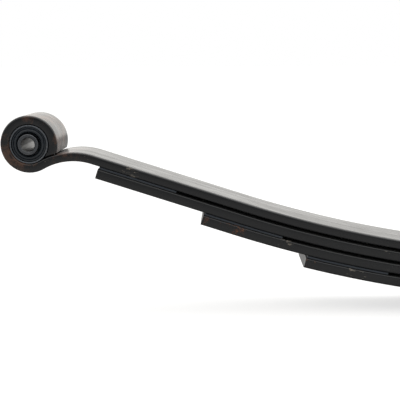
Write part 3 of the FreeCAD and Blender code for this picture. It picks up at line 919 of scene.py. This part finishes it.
for side in SIDES:
    leaf_halves["main_leaf", side] = bar(f"{side}_main_leaf", side, main_path(), LEAF_WIDTH,
                                         MAIN_THICKNESS, EDGE_ROUND, LEAF_PAINT, SIDE_BULGE,
                                         after=shear_wrap,
                                         marks=MARKS.get(("main_leaf", side), ()))
for (leaf, side), half in leaf_halves.items():
    xs = [vertex.co.x for vertex in half.data.vertices]
    low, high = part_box(leaf)
    print(f"{half.name}: {len(xs)} vertices, x {min(xs):.4f} to {max(xs):.4f}, "
          f"engineering {low.x:.4f} to {high.x:.4f}")

# %% [markdown]
# ## Holes
# Each leaf is drilled for the centre bolt, and each lower leaf near its tips for the
# liner's button. The fourth leaf is also drilled and countersunk for the clips' rivets.
# A hole is a turned cutter, taken away with a Boolean, which is exact on closed bars.


# %% Turned shapes
def turned_mesh(name, rings, place, steps=64, closed=False):
    """Rings of (radius, height), each may be a function of the angle, about the local Z."""
    form = bmesh.new()
    loops = []
    for ring in rings:
        loop = []
        for i in range(steps):
            angle = 2 * math.pi * i / steps
            radius, height = ring(angle) if callable(ring) else ring
            spot = (radius * math.cos(angle), radius * math.sin(angle), height)
            loop.append(form.verts.new(spot))
        loops.append(loop)
    pairs = list(zip(loops, loops[1:]))
    if closed:
        pairs.append((loops[-1], loops[0]))
    for first, second in pairs:
        for i in range(steps):
            j = (i + 1) % steps
            form.faces.new((first[i], first[j], second[j], second[i]))
    if not closed:
        form.faces.new(loops[0])
        form.faces.new(loops[-1])
    bmesh.ops.recalc_face_normals(form, faces=form.faces)
    form.transform(place)
    mesh = bpy.data.meshes.new(name)
    form.to_mesh(mesh)
    form.free()
    return mesh


def turned(name, rings, place, material, steps=64, closed=False):
    mesh = turned_mesh(name, rings, place, steps, closed)
    mesh.materials.append(material)
    return smoothed(link_object(name, mesh))


def on_leaf(station, depth, side):
    """The place on the line whose local Z stands square to the leaf and X runs outward."""
    x, z = on_line(station, depth)
    slope = min(station / BOW_RADIUS, FLANK)
    sign = SIDES[side]
    outward = Vector((sign * math.cos(slope), 0, math.sin(slope)))
    square = Vector((-sign * math.sin(slope), 0, math.cos(slope)))
    third = square.cross(outward)
    turn = Matrix((outward, third, square)).transposed().to_4x4()
    return Matrix.Translation((sign * x, 0, z)) @ turn


def cut_away(piece, cutters):
    """Takes turned cutters out of a piece, keeping the piece's own finish."""
    for i, (rings, place) in enumerate(cutters):
        tool = link_object("cutter", turned_mesh("cutter", rings, place, 48))
        modifier = piece.modifiers.new(f"cut_{i}", "BOOLEAN")
        modifier.operation = "DIFFERENCE"
        modifier.solver = "EXACT"
        modifier.object = tool
    baked(piece)
    for tool in [o for o in bpy.data.objects if o.name.startswith("cutter")]:
        bpy.data.objects.remove(tool)
    return smoothed(piece)


# %% Drill the leaves
BOLT_DIAMETER = 0.010
HOLE_ROOM = 0.0003
BUTTON_FROM_TIP = 0.039
BUTTON_DIAMETER = 0.010
BUTTON_ROOM = 0.00025
RIVET_DIAMETER = 0.008
RIVET_HEAD_RADIUS = 0.007
RIVET_HEAD_HEIGHT = 0.004
RIVET_SINK_DIAMETER = 0.012
RIVET_SINK_DEPTH = 0.0025
CLIP_FROM_MIDDLE = 0.165  # level, from the centre bolt to each clip
CLIP_STATION = station_at(CLIP_FROM_MIDDLE, STACK)
FOURTH_TOP = LOWER_LEAVES["fourth_leaf"]


def drill(radius, low, high):
    return [(radius, low), (radius, high)]


centre_drill = drill(BOLT_DIAMETER / 2 + HOLE_ROOM, -STACK, 2 * STACK)
shaft = RIVET_DIAMETER / 2 + HOLE_ROOM
sink = RIVET_SINK_DIAMETER / 2 + HOLE_ROOM
rivet_drill = [(shaft, -2 * LOWER_THICKNESS), (shaft, -RIVET_SINK_DEPTH), (sink, 0.0),
               (sink, LEAF_GAP)]
for (leaf, side), half in leaf_halves.items():
    cutters = [(centre_drill, Matrix.Identity(4))]
    if leaf in LOWER_LEAVES:
        button_place = on_leaf(leaf_tips[leaf] - BUTTON_FROM_TIP, LOWER_LEAVES[leaf], side)
        button = BUTTON_DIAMETER / 2 + BUTTON_ROOM
        cutters.append((drill(button, -2 * LOWER_THICKNESS, LEAF_GAP), button_place))
    if leaf == "fourth_leaf":
        cutters.append((rivet_drill, on_leaf(CLIP_STATION, FOURTH_TOP, side)))
    cut_away(half, cutters)
    bent(half)
    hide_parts(leaf)
    print(f"{half.name}: {len(cutters)} holes, {len(half.data.polygons)} faces")

# %% [markdown]
# ## Bushes
# A rubber-in-steel bush is pressed into each eye. From outside in it has a thin steel
# sleeve with rolled lips, rubber whose face has a step, a crown and a moat, and a thick
# steel tube that the shackle or hanger bolt passes through. All three are turned shapes,
# so each is a list of (radius, distance from the middle) carried round the axis. The tube
# is rolled from strip, so a seam runs along its bore.


# %% Turned walls
def rounded(radius, half, rounding, outward, arc_steps=4):
    """One lip of a tube: from its wall (outward 1) or its bore (outward -1) to its face."""
    points = []
    for i in range(arc_steps + 1):
        turn = math.pi / 2 * i / arc_steps
        inset = rounding * (1 - math.cos(turn))
        drop = rounding * (1 - math.sin(turn))
        points.append((radius - outward * inset, half - drop))
    return points


def both_ends(near_end):
    """A closed profile from one end's points, wall to bore, and their mirror image."""
    return near_end + [(radius, -height) for radius, height in reversed(near_end)]


def wall_profile(outer, inner, half, outer_round, inner_round):
    wall = rounded(outer, half, outer_round, 1)
    bore = rounded(inner, half, inner_round, -1)
    return both_ends(wall + list(reversed(bore)))


def eye_place(side):
    """The eye's frame: local Z along the bush towards the near side of the spring."""
    eye = Matrix.Translation((SIDES[side] * EYE_X, 0, EYE_Z))
    return eye @ Matrix.Rotation(math.pi / 2, 4, "X")


# %% Sizes of the bush
tube_low, tube_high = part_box("front_bush_tube")
TUBE_HALF = (tube_high.y - tube_low.y) / 2
TUBE_RADIUS = (tube_high.z - tube_low.z) / 2
TUBE_BORE = mounts["front_eye_bore"]["dims"]["r_mm"] / 1000
TUBE_EDGE = 0.0008
BORE_REACH = TUBE_BORE + 0.9 * TUBE_EDGE
SEAM_ANGLE = math.radians(-48)
SEAM_WIDTH = math.radians(6)
SEAM_DEPTH = 0.0005
sleeve_low, sleeve_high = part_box("front_bush_sleeve")
SLEEVE_HALF = (sleeve_high.y - sleeve_low.y) / 2
SLEEVE_RADIUS = (sleeve_high.z - sleeve_low.z) / 2
SLEEVE_WALL = 0.0016
PRESS_ROOM = 0.00005  # between pieces that touch
RUBBER_HALF = SLEEVE_HALF - 0.001
RUBBER_OUTER = SLEEVE_RADIUS - SLEEVE_WALL
RUBBER_INNER = TUBE_RADIUS + PRESS_ROOM
MOAT_WIDTH = 0.0014
MOAT_DEPTH = 0.004


def seamed(radius, height):
    """A bore ring that is cut a little deeper at the rolled tube's seam."""
    def ring(angle):
        turn = (angle - SEAM_ANGLE + math.pi) % (2 * math.pi) - math.pi
        depth = SEAM_DEPTH * max(0.0, 1 - abs(turn) / SEAM_WIDTH)
        return radius + depth, height
    return ring


def tube_rings():
    """Rounded outside, chamfered bore with the seam."""
    wall = rounded(TUBE_RADIUS, TUBE_HALF, TUBE_EDGE, 1)
    mouth = seamed(TUBE_BORE + TUBE_EDGE, TUBE_HALF)
    throat = seamed(TUBE_BORE, TUBE_HALF - TUBE_EDGE)
    far_throat = seamed(TUBE_BORE, TUBE_EDGE - TUBE_HALF)
    far_mouth = seamed(TUBE_BORE + TUBE_EDGE, -TUBE_HALF)
    far_wall = [(radius, -height) for radius, height in reversed(wall)]
    return wall + [mouth, throat, far_throat, far_mouth] + far_wall


def mark_bore(mesh, place):
    """Stores bore: 1 inside the tube, whose colour is turned near-black and not metallic as
    painted shade.
    """
    back = place.inverted()
    bore = mesh.attributes.new("bore", "FLOAT", "POINT").data
    for i, vertex in enumerate(mesh.vertices):
        local = back @ vertex.co
        bore[i].value = 1.0 if local.xy.length < BORE_REACH else 0.0


def rubber_face():
    """From the sleeve inwards: a step, a groove, a crown, a soft lip and the moat."""
    face = RUBBER_HALF
    outer, groove, crown = RUBBER_OUTER, RUBBER_OUTER - 0.0023, RUBBER_OUTER - 0.0037
    lip_radius = RUBBER_INNER + MOAT_WIDTH
    return [
        (outer - 0.00002, face - 0.0009), (outer - 0.0003, face - 0.0003), (outer - 0.0008, face),
        (groove + 0.0006, face + 0.0001), (groove + 0.0003, face - 0.0003),
        (groove, face - 0.0005), (groove - 0.0003, face - 0.0003),
        (groove - 0.0006, face + 0.0002), (crown, face + 0.0006), (crown - 0.0009, face + 0.0004),
        (lip_radius + 0.0006, face - 0.0002), (lip_radius + 0.0001, face - 0.0008),
        (lip_radius, face - 0.0016), (lip_radius - 0.0001, face - MOAT_DEPTH + 0.0004),
        (lip_radius - 0.0006, face - MOAT_DEPTH), (RUBBER_INNER, face - MOAT_DEPTH),
    ]


# %% Make the bushes
for side in SIDES:
    place = eye_place(side)
    sleeve = turned(f"{side}_sleeve", wall_profile(SLEEVE_RADIUS, RUBBER_OUTER, SLEEVE_HALF,
                    0.0007, 0.0004), place, SLEEVE_STEEL, 128, closed=True)
    rubber = turned(f"{side}_rubber", both_ends(rubber_face()), place, BUSH_RUBBER, 128,
                    closed=True)
    tube = turned(f"{side}_tube", tube_rings(), place, TUBE_STEEL, 120, closed=True)
    mark_bore(tube.data, place)
    for piece, body, node, slot in (
        (sleeve, f"{side}_end", "bush_sleeve", "sleeve_steel"),
        (rubber, f"{side}_end", "bush_rubber", "bush_rubber"),
        (tube, f"{side}_bush_inner", "bush_tube", "tube_steel"),
    ):
        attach(piece, body)
        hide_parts(f"{side}_{node}")
    print(f"{side} bush: sleeve {2 * SLEEVE_RADIUS:.4f} across, bore {2 * TUBE_BORE:.4f}")

# %% [markdown]
# ## Tip liners
# A liner is a strip of hard plastic that lies on a leaf's tip and is held by a moulded
# button in the leaf's hole. The strip follows the same line as the leaves, so it comes from
# the same tree with a thin section, and the button is a turned stud joined to it.

# %% Make the liners
LINER_LENGTH = 0.078
LINER_SETBACK = 0.001
LINER_INSET = 0.001
LINER_ROOM = 0.0001
LINER_THICKNESS = LEAF_GAP - 2 * LINER_ROOM
LINER_ROUND = 0.0006
BUTTON_LENGTH = 0.007
LINERS = {"tip_liner_upper": "second_leaf", "tip_liner_middle": "third_leaf",
          "tip_liner_lower": "fourth_leaf"}


def joined(piece, mesh):
    """Adds another closed form to a piece's mesh."""
    form = bmesh.new()
    form.from_mesh(piece.data)
    form.from_mesh(mesh)
    form.to_mesh(piece.data)
    form.free()


def button_rings():
    """A stud with a chamfered end and the small dimple its mould leaves."""
    radius = BUTTON_DIAMETER / 2
    return [(0.0012, -BUTTON_LENGTH + 0.0008), (0.0018, -BUTTON_LENGTH),
            (radius - 0.001, -BUTTON_LENGTH), (radius, -BUTTON_LENGTH + 0.001),
            (radius, -LINER_ROOM - LINER_THICKNESS / 4)]


for side in SIDES:
    for liner, leaf in LINERS.items():
        top = LOWER_LEAVES[leaf]
        outer = leaf_tips[leaf] - LINER_SETBACK
        path = strip_path(outer - LINER_LENGTH, outer, top - LEAF_GAP / 2)
        piece = bar(f"{side}_{liner}", side, path, LEAF_WIDTH - 2 * LINER_INSET,
                    LINER_THICKNESS, LINER_ROUND, LINER_PLASTIC)
        button_place = on_leaf(leaf_tips[leaf] - BUTTON_FROM_TIP, top, side)
        joined(piece, turned_mesh("button", button_rings(), button_place, 40))
        smoothed(piece)
        bent(piece)
        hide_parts(f"{side}_{liner}")
    print(f"{side} liners: {len(LINERS)}, {1000 * LINER_THICKNESS:.1f} mm thick")

# %% [markdown]
# ## Threads and hexagons
# A thread is a small ridge that climbs round a core, one pitch for each turn: a spiral
# with a section carried along it, so it is a tree of its own. A hexagon is a turned shape
# whose radius depends on the angle; the chamfer is a cone, so its edge dips in the middle
# of each flat, as on a real nut.


# %% The thread tree
def build_thread_tree():
    tree, given, out = new_tree(
        "Thread",
        [("Path", "NodeSocketGeometry", None), ("Core Radius", FLOAT, 0.004),
         ("Depth", FLOAT, 0.0006), ("Pitch", FLOAT, 0.00125), ("Turns", FLOAT, 3.0),
         ("Steps", "NodeSocketInt", 36), ("Finish", "NodeSocketMaterial", None)],
    )
    size = given.outputs
    spiral = new_node(tree, "GeometryNodeCurveSpiral")
    feed(tree, spiral.inputs["Resolution"], size["Steps"])
    feed(tree, spiral.inputs["Rotations"], size["Turns"])
    feed(tree, spiral.inputs["Start Radius"], size["Core Radius"])
    feed(tree, spiral.inputs["End Radius"], size["Core Radius"])
    feed(tree, spiral.inputs["Height"], math_node(tree, "MULTIPLY", size["Pitch"], size["Turns"]))
    upright = new_node(tree, "GeometryNodeSetCurveNormal", mode="FREE")
    feed(tree, upright.inputs["Curve"], spiral.outputs[0])
    feed(tree, upright.inputs["Normal"], (0, 0, 1))
    ridge = new_node(tree, "GeometryNodeCurvePrimitiveQuadrilateral", mode="TRAPEZOID")
    feed(tree, ridge.inputs["Bottom Width"], math_node(tree, "MULTIPLY", size["Pitch"], 0.92))
    feed(tree, ridge.inputs["Top Width"], math_node(tree, "MULTIPLY", size["Pitch"], 0.14))
    feed(tree, ridge.inputs["Height"], math_node(tree, "MULTIPLY", size["Depth"], 2.0))
    feed(tree, ridge.inputs["Offset"], 0.0)
    sweep = new_node(tree, "GeometryNodeCurveToMesh")
    feed(tree, sweep.inputs["Curve"], upright.outputs[0])
    feed(tree, sweep.inputs["Profile Curve"], ridge.outputs[0])
    feed(tree, sweep.inputs["Fill Caps"], True)
    finish_tree(tree, out, sweep.outputs[0], size["Finish"])
    return tree


THREAD_TREE = build_thread_tree()


def thread_mesh(core, depth, pitch, length, place, material):
    """A plain mesh of the ridge, starting at the place and climbing along its Z."""
    seed = wire_object("thread", [(0, 0, 0), (0, 0, pitch)])
    grown(seed, THREAD_TREE, Core_Radius=core, Depth=depth, Pitch=pitch,
          Turns=length / pitch, Finish=material)
    mesh = seed.data
    bpy.data.objects.remove(seed)
    mesh.transform(place)
    return mesh


# %% Hexagons
CHAMFER_SLOPE = math.tan(math.radians(30))
FACE_SHARE = 0.97  # the round face inside a chamfer, as a share of the flats
NUT_SINK = 0.0005  # depth of the countersink on a nut's bore
HEX_STEPS = 96  # a multiple of six, so that a ring has a point on each corner


def hex_ring(flats, height, chamfer_down):
    """A six-sided ring; chamfer_down is 1 under a chamfered top, -1 over one, 0 for none."""
    def ring(angle):
        turn = angle % (math.pi / 3) - math.pi / 6
        radius = flats / 2 / math.cos(turn)
        drop = max(0.0, radius - FACE_SHARE * flats / 2) * CHAMFER_SLOPE
        return radius, height - chamfer_down * drop
    return ring


def nut_rings(flats, low, high, bore):
    """A nut chamfered on both faces, with a small countersink on its bore."""
    face, mouth = FACE_SHARE * flats / 2, bore + NUT_SINK
    return [(face, low), hex_ring(flats, low, -1), hex_ring(flats, high, 1), (face, high),
            (mouth, high), (bore, high - NUT_SINK), (bore, low + NUT_SINK), (mouth, low)]


def bolt_end_rings(radius, depth, start, tip):
    """The core of a threaded end with its chamfered point, from start to tip."""
    core = radius - depth
    return [(radius, start), (core, start + depth), (core, tip - depth), (core - depth, tip)]


print("thread tree has", len(THREAD_TREE.nodes), "nodes")

# %% [markdown]
# ## The middle of the pack
# Thin steel spacers lie between the leaves where the axle clamps them, and the centre bolt
# goes through everything. Its round head stands below the pack and drops into the axle's
# seat; its nut sits on top. The spacers keep the plain model's shape, which is exact, and
# only take their finish.

# %% Spacers and centre bolt
for name, node in frame["nodes"].items():
    if name.startswith("centre_spacer"):
        node.data.materials.clear()
        node.data.materials.append(SPACER_STEEL)

bolt_box, nut_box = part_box("centre_bolt"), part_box("centre_bolt_nut")
head_low, bolt_high = bolt_box[0].z, bolt_box[1].z
nut_low, nut_high = nut_box[0].z, nut_box[1].z
head_radius = (bolt_box[1].x - bolt_box[0].x) / 2
CENTRE_PITCH = 0.0015
CENTRE_THREAD = 0.0008
CENTRE_NUT_FLATS = 0.017
bolt_radius = BOLT_DIAMETER / 2
centre_rings = [
    (0.0012, head_low + 0.0009), (0.0022, head_low), (head_radius - 0.001, head_low),
    (head_radius, head_low + 0.001), (head_radius, -0.0003), (head_radius - 0.0003, 0.0),
    (bolt_radius, 0.0),
] + bolt_end_rings(bolt_radius, CENTRE_THREAD, nut_high - 0.0002, bolt_high)
centre_bolt = turned("centre_bolt_piece", centre_rings, Matrix.Identity(4), CENTRE_FASTENER)
start = nut_high - 0.001
length = bolt_high - start - 0.0012
joined(centre_bolt, thread_mesh(bolt_radius - CENTRE_THREAD, CENTRE_THREAD, CENTRE_PITCH, length,
                                Matrix.Translation((0, 0, start)), CENTRE_FASTENER))
smoothed(centre_bolt)
centre_nut = turned("centre_nut_piece",
                    nut_rings(CENTRE_NUT_FLATS, nut_low, nut_high, bolt_radius + PRESS_ROOM),
                    Matrix.Identity(4), CENTRE_FASTENER, HEX_STEPS, closed=True)
for piece, node in ((centre_bolt, "centre_bolt"), (centre_nut, "centre_bolt_nut")):
    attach(piece, "leaf_pack")
    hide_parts(node)
print(f"centre bolt {head_low:.4f} to {bolt_high:.4f}, nut from {nut_low:.4f}")

# %% [markdown]
# ## Rebound clips
# A clip is a flat strap riveted under the fourth leaf and bent up both sides of the pack.
# A bolt joins its ears above the main leaf, and a tube on the bolt keeps the ears apart.
# The strap is one flat section carried along a U, so it comes from the bar tree too, with
# its width turned to run along the spring. Its ears are rounded afterwards.

# %% Sizes of the clip
CLIP_WIDTH = 0.025
CLIP_THICKNESS = 0.004
CLIP_BEND = 0.006
CLIP_SIDE_ROOM = 0.001
CLIP_TOP_ROOM = 0.002
CLIP_TUBE_DIAMETER = 0.014
CLIP_TUBE_ROOM = 0.0002
CLIP_BOLT_DIAMETER = 0.008
CLIP_HEAD_FLATS = 0.013
CLIP_HEAD_HEIGHT = 0.0055
CLIP_NUT_HEIGHT = 0.0065
CLIP_BOLT_END = 0.003
CLIP_PITCH = 0.00125
CLIP_THREAD = 0.0006
LEG_INNER = LEAF_WIDTH / 2 + CLIP_SIDE_ROOM
LEG_OUTER = LEG_INNER + CLIP_THICKNESS
CLIP_BOLT_Z = STACK + CLIP_TOP_ROOM + CLIP_TUBE_DIAMETER / 2


def clip_place(side):
    """On the fourth leaf's underside: local Z square to the leaf, Y across the spring."""
    x, z = on_line(CLIP_STATION, STACK)
    slope = SIDES[side] * min(CLIP_STATION / BOW_RADIUS, FLANK)
    return Matrix.Translation((SIDES[side] * x, 0, z)) @ Matrix.Rotation(-slope, 4, "Y")


def across_clip(side):
    """The clip bolt's frame: local Z along +Y of the spring, from the bolt's middle."""
    turn = Matrix.Rotation(-math.pi / 2, 4, "X")
    return clip_place(side) @ Matrix.Translation((0, 0, CLIP_BOLT_Z)) @ turn


# %% The strap
def strap_path():
    """One leg down, under the pack and up the other leg, in the strap's middle."""
    middle = LEG_OUTER - CLIP_THICKNESS / 2
    floor = -PRESS_ROOM - CLIP_THICKNESS / 2
    radius = CLIP_BEND - CLIP_THICKNESS / 2
    top = CLIP_BOLT_Z + CLIP_WIDTH / 2
    leg = [(-middle, z) for z in spread(top, floor + radius, 0.0012)]
    corner = []
    for turn in spread(0, math.pi / 2, math.radians(15))[1:]:
        y = -middle + radius * (1 - math.cos(turn))
        corner.append((y, floor + radius * (1 - math.sin(turn))))
    base = [(y, floor) for y in spread(-middle + radius, 0, 0.004)[1:]]
    half = leg + corner + base
    return half + [(-y, z) for y, z in reversed(half[:-1])]


def round_ears(mesh):
    """Narrows the strap above the bolt to a half circle."""
    for vertex in mesh.vertices:
        above = vertex.co.z - CLIP_BOLT_Z
        if above > 0:
            reach = math.sqrt(max(0.0, (CLIP_WIDTH / 2) ** 2 - above**2))
            share = max(reach, 0.0015) / (CLIP_WIDTH / 2)
            vertex.co.x *= share


def clip_strap(side):
    wire = wire_object(f"{side}_strap", [(0, y, z) for y, z in strap_path()])
    grown(wire, BAR_TREE, Width=CLIP_WIDTH, Thickness=CLIP_THICKNESS, Edge_Round=0.0007,
          Side_Bulge=0.0, Across=(1, 0, 0), Finish=CLIP_PAINT)
    round_ears(wire.data)
    wire.data.transform(clip_place(side))
    bolt_hole = drill(CLIP_BOLT_DIAMETER / 2 + HOLE_ROOM, -2 * LEG_OUTER, 2 * LEG_OUTER)
    rivet_hole = drill(RIVET_DIAMETER / 2 + HOLE_ROOM, -2 * CLIP_THICKNESS, CLIP_THICKNESS)
    return cut_away(wire, [(bolt_hole, across_clip(side)), (rivet_hole, clip_place(side))])


# %% Bolt, nut, tube and rivet
def clip_bolt(side):
    """Head on the near side, with its threaded end through the nut on the far side."""
    head = -LEG_OUTER - PRESS_ROOM
    face = FACE_SHARE * CLIP_HEAD_FLATS / 2
    top = head - CLIP_HEAD_HEIGHT
    radius = CLIP_BOLT_DIAMETER / 2
    nut_end = LEG_OUTER + PRESS_ROOM + CLIP_NUT_HEIGHT
    rings = [(0.002, top + 0.0004), (0.0035, top), (face, top),
             hex_ring(CLIP_HEAD_FLATS, top, -1), hex_ring(CLIP_HEAD_FLATS, head, 0),
             (radius, head)]
    rings += bolt_end_rings(radius, CLIP_THREAD, nut_end - 0.0002, nut_end + CLIP_BOLT_END)
    place = across_clip(side)
    bolt = turned(f"{side}_clip_bolt_piece", rings, place, ZINC_FASTENER, HEX_STEPS)
    ridge = thread_mesh(radius - CLIP_THREAD, CLIP_THREAD, CLIP_PITCH, CLIP_BOLT_END,
                        place @ Matrix.Translation((0, 0, nut_end - 0.0009)), ZINC_FASTENER)
    joined(bolt, ridge)
    return smoothed(bolt)


def clip_nut(side):
    low = LEG_OUTER + PRESS_ROOM
    bore = CLIP_BOLT_DIAMETER / 2 + PRESS_ROOM
    rings = nut_rings(CLIP_HEAD_FLATS, low, low + CLIP_NUT_HEIGHT, bore)
    return turned(f"{side}_clip_nut_piece", rings, across_clip(side), ZINC_FASTENER, HEX_STEPS,
                  closed=True)


def clip_tube(side):
    rings = wall_profile(CLIP_TUBE_DIAMETER / 2, CLIP_BOLT_DIAMETER / 2 + HOLE_ROOM,
                         LEG_INNER - CLIP_TUBE_ROOM, 0.0005, 0.0005)
    return turned(f"{side}_clip_tube_piece", rings, across_clip(side), ZINC_FASTENER, 72,
                  closed=True)


def clip_rivet(side):
    """A low dome under the strap, a shank, and a head sunk flush in the fourth leaf."""
    under = -CLIP_THICKNESS - 2 * PRESS_ROOM
    lowest = under - RIVET_HEAD_HEIGHT
    ball = (RIVET_HEAD_RADIUS**2 + RIVET_HEAD_HEIGHT**2) / (2 * RIVET_HEAD_HEIGHT)
    dome = []
    for turn in spread(0.12, math.asin(RIVET_HEAD_RADIUS / ball), 0.12):
        dome.append((ball * math.sin(turn), lowest + ball * (1 - math.cos(turn))))
    shank = RIVET_DIAMETER / 2
    rings = dome + [(shank, under + 0.00001), (shank, LOWER_THICKNESS - RIVET_SINK_DEPTH),
                    (RIVET_SINK_DIAMETER / 2, LOWER_THICKNESS)]
    return turned(f"{side}_clip_rivet_piece", rings, clip_place(side), RIVET_STEEL, 60)


CLIP_PIECES = {
    "clip_strap": (clip_strap, "clip_paint"),
    "clip_bolt": (clip_bolt, "zinc_fastener"),
    "clip_nut": (clip_nut, "zinc_fastener"),
    "clip_tube": (clip_tube, "zinc_fastener"),
    "clip_rivet": (clip_rivet, "rivet_steel"),
}
for side in SIDES:
    for node, (make, slot) in CLIP_PIECES.items():
        piece = make(side)
        bent(piece)
        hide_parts(f"{side}_{node}")
        low = min(vertex.co.z for vertex in piece.data.vertices)
